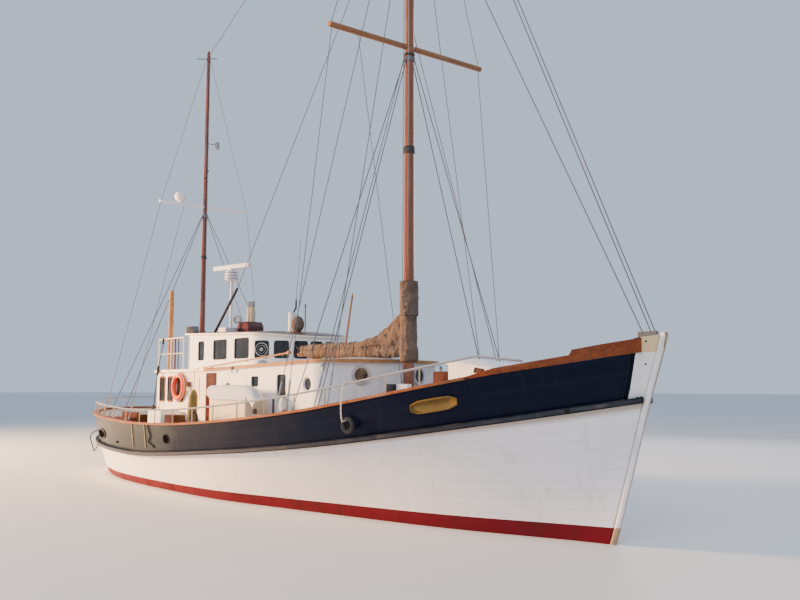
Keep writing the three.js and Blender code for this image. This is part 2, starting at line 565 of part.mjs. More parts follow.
function roofGear() {
  const radar = { x: -3200, y: -420, z: 3940 };
  const post = join(bar(vec(radar.x, radar.y, radar.z), vec(radar.x, radar.y, 5340), 38, 34, 12),
    bar(vec(radar.x, radar.y, 5320), vec(radar.x, radar.y, 5570), 185, 170, 20),
    box(radar.x - 260, radar.x + 130, radar.y - 220, radar.y + 140, radar.z - 100, radar.z + 120));
  add('radar_post', cut(post, underRoof(WHEELHOUSE_ROOF)), 'white');
  const array = join(box(-720, 720, -55, 55, 0, 110), bar(vec(0, 0, -50), vec(0, 0, 60), 70, 70, 16))
    .rotateZ(radians(11)).translate(radar.x, radar.y, 5626);
  add('radar_scanner', array, 'white');
  const onRoof = underRoof(WHEELHOUSE_ROOF);
  const hood = new THREE.ExtrudeGeometry(new THREE.Shape([[-300, 0], [300, 0], [300, 150], [200, 280],
    [-200, 280], [-300, 150]]
    .map(([a, b]) => new THREE.Vector2(a, b))), { depth: 460, bevelEnabled: false })
    .rotateX(Math.PI / 2).translate(-2900, 230, 3930);
  const housing = join(hood, box(-3200, -2600, -230, 230, 3800, 3940));
  const pipes = [-110, 60].map((dx) => bar(vec(-2850 + dx, 0, 4000), vec(-2850 + dx, 0, 4760), 62, 62, 14));
  add('exhaust', cut(join(housing, ...pipes), onRoof), 'mahogany');
  add('roof_box', cut(box(-3800, -3380, -1400, -1240, 3700, 4070), onRoof), 'black');
  const [lamp, bottle, base] = [bar(vec(-240, -200, 3700), vec(-240, -200, 4010), 60, 60, 12),
    bar(vec(-565, -160, 3700), vec(-565, -160, 4310), 94, 94, 14), box(-565, -240, -210, -150, 3700, 3900)];
  const cover = new THREE.SphereGeometry(155, 14, 10).scale(1, 1, 1.3).translate(-240, -200, 4010);
  add('searchlight', cut(join(lamp, cover, bottle, base), onRoof), 'canvas');
}

function aftDeckGear() {
  const railing = (points, posts, middle) => join(
    ...points.slice(1).map((p, i) => bar(points[i], p, 19, 19, 6)),
    ...points.slice(1).map((p, i) => bar(points[i].clone().setZ(middle), p.clone().setZ(middle), 12, 12, 6)),
    ...posts.map(([x, y]) => bar(vec(x, y, 2935), vec(x, y, points[0].z + 22), 19, 19, 6)));
  const corners = [[-3820, -1460], [-5340, -1460], [-5340, 1460], [-3820, 1460]];
  const frame = railing(corners.map(([x, y]) => vec(x, y, 3790)),
    [...corners, [-4580, -1460], [-4580, 1460], [-5340, -500], [-5340, 500]], 3380);
  add('upper_rail', cut(frame, underRoof(HOUSE_ROOF)), 'white');
  add('yellow_post', cut(join(bar(vec(-5100, -1240, 2800), vec(-5100, -1240, 5050), 72, 66, 14),
    bar(vec(-5100, -1240, 5040), vec(-5100, -1240, 5150), 60, 52, 12)),
  underRoof(HOUSE_ROOF)), 'honey');
  add('locker', cut(box(-4490, -3700, -2100, -1560, 700, 1885), belowDeck()), 'white');
  add('stern_bench', cut(join(box(-8700, -8250, -950, 950, 700, 1360),
    box(-8750, -8700, -950, 950, 700, 1650)), belowDeck()), 'mahogany');
  const ring = new THREE.TorusGeometry(300, 62, 8, 24).rotateX(Math.PI / 2).translate(-3880, -1480 - 66, 2500);
  add('life_ring', ring, 'orange');
  const capstan = new THREE.LatheGeometry([[0, 0], [170, 0], [170, 60], [90, 120], [80, 330], [140, 420],
    [130, 480], [0, 480]]
    .map(([r, h]) => new THREE.Vector2(r, h)), 20)
    .rotateX(Math.PI / 2).translate(-6300, -1500, deckTop(-6300) - 10);
  add('capstan', cut(capstan, belowDeck()), 'black');
}

// Pair of bitts: two posts through a cross bar.
function bitts() {
  const pairs = [['bitts_bow_starboard', 8650, -420], ['bitts_bow_port', 8650, 420],
    ['bitts_stern_starboard', -8050, -1780], ['bitts_stern_port', -8050, 1780]];
  for (const [name, x, y] of pairs) {
    const z = deckTop(x);
    const posts = join(bar(vec(x - 90, y, z - 200), vec(x - 90, y, z + 620), 62, 62, 12),
      bar(vec(x + 90, y, z - 200), vec(x + 90, y, z + 620), 62, 62, 12),
      bar(vec(x - 200, y, z + 420), vec(x + 200, y, z + 420), 32, 32, 10));
    add(name, cut(posts, belowDeck()), 'black');
  }
}

function tender() {
  // Inflatable tender lashed on its edge on the starboard side deck.
  const y = -2060;
  const tubeTop = tube([vec(-950, y, 2370), vec(-600, y, 2375), vec(200, y, 2380), vec(900, y, 2330),
    vec(1230, y, 2100)], 172, 20, 14);
  const floor = cut(box(-760, 900, y - 175, y + 120, 900, 2330), belowDeck());
  add('tender', join(tubeTop, floor), 'white');
}

// Rail on stanchions, from one bow round the stern to the other.
function handrail() {
  const height = 350;
  const top = (s) => offset(s, RAIL, -38, s > 0.885 ? mix(height, 150, (s - 0.885) / 0.035) : height);
  const posts = [0.0035, 0.015, 0.04, 0.085, 0.13, 0.18, 0.23, 0.28, 0.33, 0.38, 0.43, 0.48, 0.53, 0.58,
    0.63, 0.68, 0.725, 0.765, 0.8, 0.835];
  const places = [0, ...posts, 0.885, 0.92];
  const line = [...[...places].reverse().map(top), ...places.slice(1).map(top).map(mirrored)];
  const section = (p, i) => {
    const [before, after] = [line[Math.max(i - 1, 0)], line[Math.min(i + 1, line.length - 1)]];
    const direction = after.clone().sub(before).setZ(0).normalize();
    const across = vec(-direction.y, direction.x, 0);
    return Array.from({ length: 4 }, (_, k) => p.clone().addScaledVector(across, 20 * Math.cos(k * Math.PI / 2))
      .add(vec(0, 0, 20 * Math.sin(k * Math.PI / 2))));
  };
  const stanchions = posts.flatMap((s) => {
    const [foot, head] = [offset(s, RAIL, -38, 30), top(s)];
    return [bar(foot, head, 16, 16, 4), bar(mirrored(foot), mirrored(head), 16, 16, 4)];
  });
  const rail = join(skin(line.map(section)), ...stanchions);
  add('handrail', cut(rail, capVolume()), 'steel');
}

// Standing rigging: wires from a band round the mast to the rail or the stem.
function rigging() {
  const wire = 11;
  const hoop = (mast, z) => {
    const radius = mastRadius(mast, z - 45);
    return cut(bar(vec(mast.x, 0, z - 45), vec(mast.x, 0, z + 45), radius + 18, radius + 18, mast.sides),
      bar(vec(mast.x, 0, z - 60), vec(mast.x, 0, z + 60), radius + 2, radius + 2, mast.sides));
  };
  // Shrouds of each mast. Columns: name, mast, height of the band, places where they land.
  const shrouds = [['main_shrouds', MAIN_MAST, 9480, [0.677, 0.716]],
    ['mizzen_shrouds', MIZZEN, 7480, [0.205, 0.262]]];
  for (const [name, mast, height, places] of shrouds) {
    const wires = [1, -1].flatMap((hand) => places.map((s, i) => {
      const foot = offset(s, RAIL, -38, 55);
      const [angle, reach] = [radians(i ? 18 : -18), mastRadius(mast, height) + 15];
      const start = vec(mast.x + reach * Math.sin(angle), -hand * reach * Math.cos(angle), height);
      return bar(start, vec(foot.x, foot.y * hand, foot.z), wire, wire, 6);
    }));
    add(name, join(hoop(mast, height), ...wires), 'steel');
  }
  // Forestays, and the triatic stay between the masts. Columns: height on the mast, length and height
  // at the stem.
  const head = 16600;
  const forestays = [[head, 9820, 3346], [head - 250, 9742, 3343], [head - 2360, 9590, 3341]]
    .map(([z, x, foot]) => bar(vec(MAIN_MAST.x + mastRadius(MAIN_MAST, z) + 16, 0, z), vec(x, 0, foot),
      wire, wire, 6));
  const grown = between([PANEL, 1], (s) => [offset(s, DECK_EDGE, 2), side(s, RAIL),
    side(s, RAIL).add(vec(60, 0, 235 + GAP))]);
  const plate = cut(box(9505, 9850, -28, 28, 3271, 3377), grown);
  const hooked = vec(MAIN_MAST.x - mastRadius(MAIN_MAST, head) - 9, 0, head + 8);
  const triatic = bar(vec(MIZZEN.x + 60, 0, MIZZEN.top - 60), hooked, wire, wire, 6);
  add('stays', join(hoop(MAIN_MAST, head), ...forestays, triatic, plate), 'steel');
}

function fender() {
  const place = 0.759;
  const centre = offset(place, DECK_EDGE + 0.38, 95);
  const turn = new THREE.Quaternion().setFromUnitVectors(vec(0, 0, 1), outward(place, DECK_EDGE));
  const ring = new THREE.TorusGeometry(115, 42, 8, 16).applyQuaternion(turn).translate(...centre.toArray());
  add('tyre_fender', ring, 'rubber');
}

hull();
bulwarks();
nameBoards();
sternGear();
deckhouse();
wheelhouse();
doors();
foredeck();
masts();
boom();
roofGear();
aftDeckGear();
bitts();
tender();
handrail();
rigging();
fender();

export default boat;
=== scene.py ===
import json
import math

import bpy
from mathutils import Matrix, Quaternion, Vector

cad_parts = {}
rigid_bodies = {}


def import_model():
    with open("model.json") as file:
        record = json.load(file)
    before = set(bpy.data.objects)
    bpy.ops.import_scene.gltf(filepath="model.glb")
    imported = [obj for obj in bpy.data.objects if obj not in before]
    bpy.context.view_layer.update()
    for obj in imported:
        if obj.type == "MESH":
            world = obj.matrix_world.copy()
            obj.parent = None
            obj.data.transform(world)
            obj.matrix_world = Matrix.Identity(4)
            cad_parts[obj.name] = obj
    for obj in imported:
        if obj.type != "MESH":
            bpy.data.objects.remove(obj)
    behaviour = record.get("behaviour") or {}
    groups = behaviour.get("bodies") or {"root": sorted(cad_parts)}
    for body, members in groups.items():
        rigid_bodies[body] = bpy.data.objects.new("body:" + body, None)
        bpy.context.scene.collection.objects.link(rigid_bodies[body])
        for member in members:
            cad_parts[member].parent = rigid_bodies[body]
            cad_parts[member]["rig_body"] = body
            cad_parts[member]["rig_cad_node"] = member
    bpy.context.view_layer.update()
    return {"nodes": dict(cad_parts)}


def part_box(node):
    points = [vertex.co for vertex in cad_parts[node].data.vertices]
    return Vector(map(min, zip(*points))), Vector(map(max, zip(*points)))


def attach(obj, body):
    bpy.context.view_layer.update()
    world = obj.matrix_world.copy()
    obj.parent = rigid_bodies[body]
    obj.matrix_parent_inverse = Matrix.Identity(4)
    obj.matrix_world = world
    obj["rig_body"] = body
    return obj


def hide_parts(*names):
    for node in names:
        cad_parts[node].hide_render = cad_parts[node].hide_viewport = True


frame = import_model()


# The camera stands two and a half metres above the water off the starboard bow, and looks aft
# and a little up. Its focal length is given in pixels of a picture 800 wide.
eye = Vector((18.335, -11.937, 2.472))
heading, tilt, roll = (math.radians(angle) for angle in (38.727, 5.571, 0.174))
picture_width, focal_pixels, sensor = 800, 906.8, 36.0
far_limit = 2000
look = Vector((-math.cos(heading) * math.cos(tilt), math.sin(heading) * math.cos(tilt),
               math.sin(tilt)))
bpy.ops.object.camera_add(location=eye)
camera = bpy.context.object
camera.rotation_euler = (look.to_track_quat("-Z", "Y") @ Quaternion((0, 0, 1), roll)).to_euler()
camera.data.sensor_width = sensor
camera.data.lens = sensor * focal_pixels / picture_width
camera.data.clip_end = far_limit
bpy.context.scene.camera = camera


# The studio: a pale floor at the waterline, a pale surround, a warm low light from astern,
# a cool broad one over the bow and a weak one from port.
floor_width = 900
bpy.ops.mesh.primitive_plane_add(size=floor_width)
floor = bpy.context.object
floor.name = "studio_floor"
floor_paint = bpy.data.materials.new("pale_floor")
floor_paint.use_nodes = True
coat = floor_paint.node_tree.nodes["Principled BSDF"].inputs
coat["Base Color"].default_value = (0.60, 0.63, 0.68, 1)
coat["Roughness"].default_value = 0.55
floor.data.materials.append(floor_paint)
surround = bpy.data.worlds.new("pale_surround")
surround.use_nodes = True
air = surround.node_tree.nodes["Background"].inputs
air["Color"].default_value = (0.62, 0.74, 0.93, 1)
air["Strength"].default_value = 0.92
bpy.context.scene.world = surround
# Columns: name, place, aim, size, power, colour.
studio_lights = [
    ("low_warm_light", (-27, -21, 8.5), (-1, 0, 2.5), 6.0, 80000, (1.0, 0.57, 0.25)),
    ("broad_cool_light", (19, -27, 17), (2, 0, 3), 16.0, 4300, (0.86, 0.92, 1.0)),
    ("port_light", (-6, 26, 15), (0, 0, 4), 14.0, 2600, (1.0, 0.93, 0.84)),
]
for name, place, aim, size, power, colour in studio_lights:
    bpy.ops.object.light_add(type="AREA", location=place)
    light = bpy.context.object
    light.name = name
    light.rotation_euler = (Vector(aim) - Vector(place)).to_track_quat("-Z", "Y").to_euler()
    light.data.size = size
    light.data.energy = power
    light.data.color = colour
    # Glossy paint would mirror the strong low light, so reflections leave it out.
    light.visible_glossy = name != "low_warm_light"


# The bottom: planked hull below the boot top, keel and rudder trunk, under dull crimson
# antifouling that has faded and gathered weed at the water.
skin_angle, merge_gap = 32, 0.0002


def pick(piece, *others):
    """Selects these objects alone and makes the first one active."""
    bpy.ops.object.select_all(action="DESELECT")
    for each in (piece, *others):
        each.select_set(True)
    bpy.context.view_layer.objects.active = piece


def edit_all():
    """Opens the active piece for editing, with its whole mesh selected."""
    bpy.ops.object.mode_set(mode="EDIT")
    bpy.ops.mesh.select_all(action="SELECT")


def soften(angle, **edges):
    """Shades the active piece smooth where its faces meet at less than this angle."""
    bpy.ops.object.shade_smooth_by_angle(angle=math.radians(angle), **edges)


def smoothed(node, name, angle=skin_angle, bevel=0.0):
    """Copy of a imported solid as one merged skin, with its edges eased by a bevel."""
    pick(frame["nodes"][node])
    bpy.ops.object.duplicate()
    piece = bpy.context.object
    piece.name = name
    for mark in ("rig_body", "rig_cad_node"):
        del piece[mark]
    edit_all()
    bpy.ops.mesh.remove_doubles(threshold=merge_gap)
    bpy.ops.object.mode_set(mode="OBJECT")
    bpy.ops.mesh.customdata_custom_splitnormals_clear()
    if bevel:
        bpy.ops.object.modifier_add(type="BEVEL")
        piece.modifiers[-1].width = bevel
        piece.modifiers[-1].segments = 2
        piece.modifiers[-1].angle_limit = math.radians(angle)
        bpy.ops.object.modifier_apply(modifier=piece.modifiers[-1].name)
    soften(angle, keep_sharp_edges=False)
    return piece


def fit(piece, finish, body="root", stands_for=()):
    """Gives a piece its finish and fixes it to its body."""
    finishes = finish if isinstance(finish, (list, tuple)) else [finish]
    piece.data.materials.clear()
    for each in finishes:
        piece.data.materials.append(each)
    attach(piece, body)
    if stands_for:
        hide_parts(*stands_for)
    return piece


def dress(node, name, finish, slot, body="root", **shape):
    """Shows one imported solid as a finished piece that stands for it."""
    return fit(smoothed(node, name, **shape), finish, body, [node])


def put(tree, kind, links=None, **settings):
    """Adds a shader node. links gives each input a value or another node's output."""
    made = tree.nodes.new("ShaderNode" + kind)
    for key, value in settings.items():
        setattr(made, key, value)
    for socket, source in (links or {}).items():
        if isinstance(source, bpy.types.NodeSocket):
            tree.links.new(source, made.inputs[socket])
        else:
            made.inputs[socket].default_value = source
    return made


def clouds(group, place, scale, detail, **more):
    """Soft noise."""
    return put(group, "TexNoise", {"Vector": place, "Scale": scale, "Detail": detail,
                                   **more}).outputs[0]


def spread(group, value, low, high, start=0.0, end=1.0):
    """A value drawn out from low and high to start and end."""
    return put(group, "MapRange", {"Value": value, "From Min": low, "From Max": high,
                                   "To Min": start, "To Max": end}).outputs[0]


def times(group, value, factor, **more):
    """A value times a factor."""
    return put(group, "Math", {0: value, 1: factor}, operation="MULTIPLY", **more).outputs[0]


def times_plus(group, value, factor, added, **more):
    """A value times a factor, plus another."""
    return put(group, "Math", {0: value, 1: factor, 2: added}, operation="MULTIPLY_ADD",
               **more).outputs[0]


def blend(group, share, under, over):
    """One colour laid over another by its share."""
    return put(group, "Mix", {0: share, 6: under, 7: over}, data_type="RGBA").outputs[2]


def toned(group, colour, tone):
    """A colour made lighter or darker by a tone."""
    return put(group, "VectorMath", {0: colour, 1: tone}, operation="MULTIPLY").outputs[0]


def new_group(name, inputs):
    """Node group, its inputs, and the call that links its colour, roughness and height."""
    group = bpy.data.node_groups.new(name, "ShaderNodeTree")
    for label, value in inputs.items():
        size = 1 if isinstance(value, float) else len(value)
        kind = {1: "NodeSocketFloat", 3: "NodeSocketVector", 4: "NodeSocketColor"}[size]
        group.interface.new_socket(label, in_out="INPUT", socket_type=kind).default_value = value
    for label, kind in (("Colour", "Color"), ("Roughness", "Float"), ("Height", "Float")):
        group.interface.new_socket(label, in_out="OUTPUT", socket_type="NodeSocket" + kind)
    given = group.nodes.new("NodeGroupInput").outputs
    out = group.nodes.new("NodeGroupOutput").inputs

    def send(**results):
        for label, source in results.items():
            group.links.new(source, out[label.capitalize()])

    return group, given, send


def finish_of(name, group, values, bump=0.3, depth=0.01, **shader):
    """Material whose colour, roughness and relief come from a node group."""
    made = bpy.data.materials.new(name)
    made.use_nodes = True
    tree = made.node_tree
    surface = tree.nodes["Principled BSDF"]
    pattern = put(tree, "Group", node_tree=group)
    for label, value in values.items():
        if isinstance(value, str):
            tree.links.new(put(tree, "TexCoord").outputs[value], pattern.inputs[label])
        else:
            pattern.inputs[label].default_value = value
    relief = put(tree, "Bump", {
        "Height": pattern.outputs["Height"], "Strength": bump, "Distance": depth})
    tree.links.new(pattern.outputs["Colour"], surface.inputs["Base Color"])
    tree.links.new(pattern.outputs["Roughness"], surface.inputs["Roughness"])
    tree.links.new(relief.outputs["Normal"], surface.inputs["Normal"])
    for socket in surface.inputs:
        label = socket.name.lower().replace(" ", "_")
        if label in shader:
            socket.default_value = shader[label]
    return made


def sea_worn_paint():
    """Paint that is stained in patches and by runs of water."""
    group, given, send = new_group("sea_worn_paint", {
        "Paint": (0.8, 0.8, 0.8, 1), "Stain": (0.3, 0.25, 0.2, 1), "Wear": 0.3, "Runs": 0.2,
        "Scale": 1.5, "Gloss": 0.35})
    place = put(group, "TexCoord").outputs["Object"]
    hanging = put(group, "Mapping", {"Vector": place, "Scale": (3.1, 3.1, 0.22)}).outputs[0]
    patches = clouds(group, place, given["Scale"], 8.0, Roughness=0.65)
    runs = clouds(group, hanging, 2.4, 6.0)
    fine = clouds(group, place, 34.0, 4.0)
    worn = times(group, spread(group, patches, 0.5, 0.74), given["Wear"])
    dirt = times_plus(group, spread(group, runs, 0.54, 0.78), given["Runs"], worn, use_clamp=True)
    tint = blend(group, dirt, given["Paint"], given["Stain"])
    send(colour=toned(group, tint, spread(group, fine, 0.0, 1.0, 0.9, 1.08)),
         roughness=times_plus(group, dirt, 0.35, given["Gloss"]),
         height=times_plus(group, patches, 2.0, fine))
    return group


worn_paint = sea_worn_paint()


def painted(name, paint, stain, wear, runs, scale, gloss, **more):
    """Finish of sea-worn paint."""
    return finish_of(name, worn_paint, {"Paint": (*paint, 1), "Stain": (*stain, 1), "Wear": wear,
                                        "Runs": runs, "Scale": scale, "Gloss": gloss}, **more)


antifouling = painted("crimson_antifouling", (0.115, 0.004, 0.010), (0.05, 0.014, 0.012), wear=0.75,
                      runs=0.35, scale=1.1, gloss=0.5, bump=0.35, specular_ior_level=0.15)
dress("hull_bottom", "bottom_planking", antifouling, "antifouling")


# The topsides: white carvel planking between the boot top and the rubbing strake. The seams
# run with the sheer, which a UV map follows, and rust and water have left runs on the paint.
# Columns: length, height of the deck edge, height of the rail.
sheer = [(-9.91, 1.08, 1.83), (-7.95, 0.96, 1.69), (-5.98, 0.89, 1.63), (-4.02, 0.868, 1.57),
         (-2.05, 0.95, 1.595), (-0.09, 1.085, 1.69), (1.87, 1.235, 1.84), (3.84, 1.425, 2.05),
         (5.80, 1.67, 2.35), (7.76, 1.97, 2.70), (8.75, 2.14, 2.87), (9.73, 2.33, 3.08)]
boot_top, topside_rows, topside_cuts = 0.22, 12, (-2.0, 3.0)
# A row number above every plank, so that no band of painted shade and grime is drawn.
no_shade_or_grime = 1000.0


def joined(name, pieces):
    """Several pieces as one."""
    pick(*pieces)
    bpy.ops.object.join()
    bpy.context.object.name = name
    return bpy.context.object


def choose(piece, wanted):
    """Selects the faces of a piece that pass a test, and leaves it in edit mode."""
    pick(piece)
    bpy.ops.object.mode_set(mode="EDIT")
    bpy.ops.mesh.select_mode(type="FACE")
    bpy.ops.mesh.select_all(action="DESELECT")
    bpy.ops.object.mode_set(mode="OBJECT")
    for face in piece.data.polygons:
        face.select = wanted(face)
    bpy.ops.object.mode_set(mode="EDIT")


def welded(name, nodes, cuts):
    """Copy of a body that is packed in several lengths, closed again at the cuts between them."""
    square, near, weld_gap = 0.999, 0.002, 0.0025
    whole = joined(name, [smoothed(node, f"{name}_{node}") for node in nodes])
    choose(whole, lambda face: abs(face.normal.x) > square
           and min(abs(face.center.x - cut) for cut in cuts) < near)
    bpy.ops.mesh.delete(type="FACE")
    bpy.ops.mesh.select_all(action="SELECT")
    bpy.ops.mesh.remove_doubles(threshold=weld_gap)
    bpy.ops.object.mode_set(mode="OBJECT")
    soften(skin_angle, keep_sharp_edges=False)
    return whole


def on_sheer(x, column):
    """Height of the deck edge (column 1) or the rail (column 2) at a length."""
    x = min(max(x, sheer[0][0]), sheer[-1][0])
    for a, b in zip(sheer, sheer[1:]):
        if x <= b[0]:
            return a[column] + (b[column] - a[column]) * (x - a[0]) / (b[0] - a[0])
    return sheer[-1][column]


def map_planks(piece, lower, upper, rows):
    """UV map with the length as U and the plank's number as V."""
    layer = piece.data.uv_layers.get("planks") or piece.data.uv_layers.new(name="planks")
    for corner in piece.data.loops:
        x, _, z = piece.data.vertices[corner.vertex_index].co
        low, high = lower(x), upper(x)
        layer.data[corner.index].uv = (x, rows * (z - low) / (high - low))
    layer.active_render = True


def planked_paint():
    """The same worn paint over planks, with a dark seam between them and a band of painted shade,
    with some grime, over the top rows.
    """
    group, given, send = new_group("planked_paint", {
        "Along": (0.0, 0.0, 0.0), "Paint": (0.8, 0.8, 0.8, 1), "Stain": (0.3, 0.25, 0.2, 1),
        "Seam": (0.2, 0.2, 0.2, 1), "Wear": 0.3, "Runs": 0.2, "Scale": 1.5, "Gloss": 0.35,
        "Board": 3.0, "Row": 1.0, "Gap": 0.03, "Uneven": 0.2, "Grime": no_shade_or_grime})
    shared = ("Paint", "Stain", "Wear", "Runs", "Scale", "Gloss")
    under = put(group, "Group", {label: given[label] for label in shared},
                node_tree=worn_paint).outputs
    lay = put(group, "TexBrick", {
        "Vector": given["Along"], "Color1": (0, 0, 0, 1), "Color2": (1, 1, 1, 1),
        "Mortar": (0.5, 0.5, 0.5, 1), "Scale": 1.0, "Mortar Size": given["Gap"],
        "Mortar Smooth": 0.4, "Bias": 0.0, "Brick Width": given["Board"],
        "Row Height": given["Row"]}, offset=0.37).outputs
    uneven = times(group, spread(group, lay["Color"], 0.0, 1.0, 1.0, 0.0), given["Uneven"])
    boards = blend(group, uneven, under["Colour"], given["Stain"])
    # Rows above the given row number turn towards the stain colour: a band of painted shade under
    # the strake, with some grime.
    row = put(group, "SeparateXYZ", {0: given["Along"]}).outputs[1]
    over = put(group, "Math", {0: row, 1: given["Grime"]}, operation="SUBTRACT").outputs[0]
    shaded_and_soiled = blend(group, spread(group, over, 0.0, 0.4, 0.0, 0.85), boards, given["Stain"])
    send(colour=blend(group, lay["Fac"], shaded_and_soiled, given["Seam"]), roughness=under["Roughness"],
         height=times_plus(group, lay["Fac"], -4.0, under["Height"]))
    return group


planks = planked_paint()
# The top plank row is darkened as painted shade of the rubbing strake, with some grime.
topside_white = finish_of("topside_white", planks, {
    "Along": "UV", "Paint": (0.82, 0.81, 0.83, 1), "Stain": (0.50, 0.42, 0.33, 1),
    "Seam": (0.50, 0.50, 0.54, 1), "Wear": 0.20, "Runs": 0.34, "Scale": 0.7, "Gloss": 0.3,
    "Board": 60.0, "Row": 1.0, "Gap": 0.02, "Uneven": 0.05, "Grime": 10.95}, bump=0.2)
topside_nodes = [f"hull_topsides_{part}" for part in ("aft", "mid", "fore")]
topsides = welded("topside_planking", topside_nodes, topside_cuts)
map_planks(topsides, lambda x: boot_top, lambda x: on_sheer(x, 1), topside_rows)
fit(topsides, topside_white, stands_for=topside_nodes)


# The stem: the oak post that the planks land on, painted white at its sides and bare along its
# fore face. It is sawn off level at its head.
def sliced(place, facing, **cut):
    """Cuts the whole mesh that is open for editing along a plane."""
    bpy.ops.mesh.select_all(action="SELECT")
    bpy.ops.mesh.bisect(plane_co=place, plane_no=facing, **cut)


def paint_faces(piece, which):
    """Gives each face of a piece the number of its finish."""
    for face in piece.data.polygons:
        face.material_index = int(which(face))


up = (0, 0, 1)
stem_wood = painted("weathered_stem", (0.40, 0.27, 0.15), (0.16, 0.10, 0.05), wear=0.7, runs=0.5,
                    scale=3.0, gloss=0.5)
knee_white = painted("knee_white", (0.80, 0.78, 0.77), (0.40, 0.33, 0.25), wear=0.35, runs=0.5,
                     scale=2.0, gloss=0.35)
stem_head = 3.36
stem = smoothed("stem_post", "stem", angle=40, bevel=0.04)
bpy.ops.object.mode_set(mode="EDIT")
sliced((0, 0, stem_head), up, clear_outer=True, use_fill=True)
bpy.ops.object.mode_set(mode="OBJECT")
fit(stem, [stem_wood, knee_white], stands_for=["stem_post"])
paint_faces(stem, lambda face: face.normal.x < 0.93 and face.center.z > 0.3 and face.normal.z < 0.6)


# The bulwark: navy planks from the deck edge to the rail, dark and glossy forward and with a
# painted grey-blue sheen towards the stern in place of the sky's reflection, white inside.
def chalked_planks():
    """Planked paint whose tone turns to a painted grey-blue sheen towards the stern."""
    group, given, send = new_group("chalked_planks", {
        "Along": (0.0, 0.0, 0.0), "Paint": (0.01, 0.01, 0.02, 1), "Painted_sheen": (0.2, 0.2, 0.18, 1),
        "Stain": (0.1, 0.1, 0.1, 1), "Seam": (0.01, 0.01, 0.01, 1), "Gloss": 0.3})
    place = put(group, "TexCoord").outputs["Object"]
    length = put(group, "SeparateXYZ", {0: place}).outputs[0]
    # Painted reflection: along a noisy edge towards the stern the navy gives way to a pale slate
    # tone that stands for the sky's sheen on the gloss.
    streaks = put(group, "Mapping", {"Vector": place, "Scale": (0.35, 1.0, 2.6)}).outputs[0]
    edge = times_plus(group, clouds(group, streaks, 1.5, 6.0), 3.2, length)
    tone = blend(group, spread(group, edge, 0.4, -0.9), given["Paint"], given["Painted_sheen"])
    laid = put(group, "Group", {
        "Along": given["Along"], "Paint": tone, "Stain": given["Stain"], "Seam": given["Seam"],
        "Wear": 0.16, "Runs": 0.12, "Scale": 0.5, "Gloss": given["Gloss"], "Board": 60.0,
        "Row": 1.0, "Gap": 0.03, "Uneven": 0.05}, node_tree=planks)
    send(colour=laid.outputs["Colour"], roughness=laid.outputs["Roughness"],
         height=laid.outputs["Height"])
    return group


# The second colour is the painted sheen that is mixed in towards the stern.
navy = finish_of("navy_bulwark", chalked_planks(), {
    "Along": "UV", "Paint": (0.004, 0.007, 0.019, 1), "Painted_sheen": (0.021, 0.029, 0.036, 1),
    "Stain": (0.04, 0.04, 0.045, 1), "Seam": (0.004, 0.005, 0.01, 1), "Gloss": 0.22},
    bump=0.06, specular_ior_level=0.06)
inner_white = painted("bulwark_inside", (0.70, 0.66, 0.60), (0.26, 0.19, 0.13), wear=0.6, runs=0.6,
                      scale=2.5, gloss=0.45)
bulwark_rows, stern_curve = 6, -8.9


def faces_inward(face):
    """Whether a face of the bulwark looks over the deck."""
    inward = -math.copysign(1, face.center.y) * face.normal.y
    return inward > 0.25 or (face.center.x < stern_curve and face.normal.x > 0.3)


bulwark = smoothed("bulwark", "bulwark_planking")
map_planks(bulwark, lambda x: on_sheer(x, 1), lambda x: on_sheer(x, 2), bulwark_rows)
fit(bulwark, [navy, inner_white], stands_for=["bulwark"])
paint_faces(bulwark, faces_inward)


# The knees that close the bulwark to the stem on both bows: white with a cream head and four
# bolts each, and navy where the bulwark's paint runs over their after edges.
def drawn(name, lines, sides=12):
    """Round bars as one mesh. Each line lists x, y, z and the radius there."""
    bpy.ops.curve.primitive_nurbs_path_add(radius=1)
    path = bpy.context.object
    path.name = name
    path.data.splines.clear()
    for line in lines:
        spline = path.data.splines.new("POLY")
        spline.points.add(len(line) - 1)
        for point, (x, y, z, radius) in zip(spline.points, line):
            point.co = (x, y, z, 1)
            point.radius = radius
    path.data.dimensions = "3D"
    path.data.bevel_depth = 1.0
    path.data.bevel_resolution = (sides - 4) // 2
    path.data.use_fill_caps = True
    pick(path)
    bpy.ops.object.convert(target="MESH")
    soften(50)
    return bpy.context.object


knee_heel, after_edge, knee_head = Vector((9.414, 0, 2.295)), Vector((-0.953, 0, 0.304)), 3.04


def knee_paint(face):
    """Navy (2) at the after edge, cream (1) at the head and white (0) elsewhere."""
    outer = math.copysign(1, face.center.y) * face.normal.y > 0.2
    if outer and (face.center - knee_heel).dot(after_edge) > 0:
        return 2
    return face.center.z > knee_head


iron = painted("painted_iron", (0.018, 0.018, 0.02), (0.16, 0.07, 0.03), wear=0.35, runs=0.2,
               scale=7.0, gloss=0.42, bump=0.25)
knee_cream = painted("knee_cream", (0.72, 0.53, 0.27), (0.30, 0.22, 0.13), wear=0.4, runs=0.3,
                     scale=3.0, gloss=0.4)
knees = smoothed("bow_panel", "bow_knees", bevel=0.004)
bpy.ops.object.mode_set(mode="EDIT")
sliced(knee_heel, after_edge)
sliced((0, 0, knee_head), up)
bpy.ops.object.mode_set(mode="OBJECT")
fit(knees, [knee_white, knee_cream, navy], stands_for=["bow_panel"])
paint_faces(knees, knee_paint)
bolt_places = [(9.533, 0.118, 2.341), (9.584, 0.079, 2.349), (9.775, 0.196, 3.211),
               (9.708, 0.125, 2.859)]
bolt_head = [(0.0, 0.016), (0.008, 0.016), (0.012, 0.009)]
bolts = [[(x + proud, hand * (y + proud), z, radius) for proud, radius in bolt_head]
         for hand in (-1, 1) for x, y, z in bolt_places]
fit(drawn("knee_bolts", bolts, 8), iron)
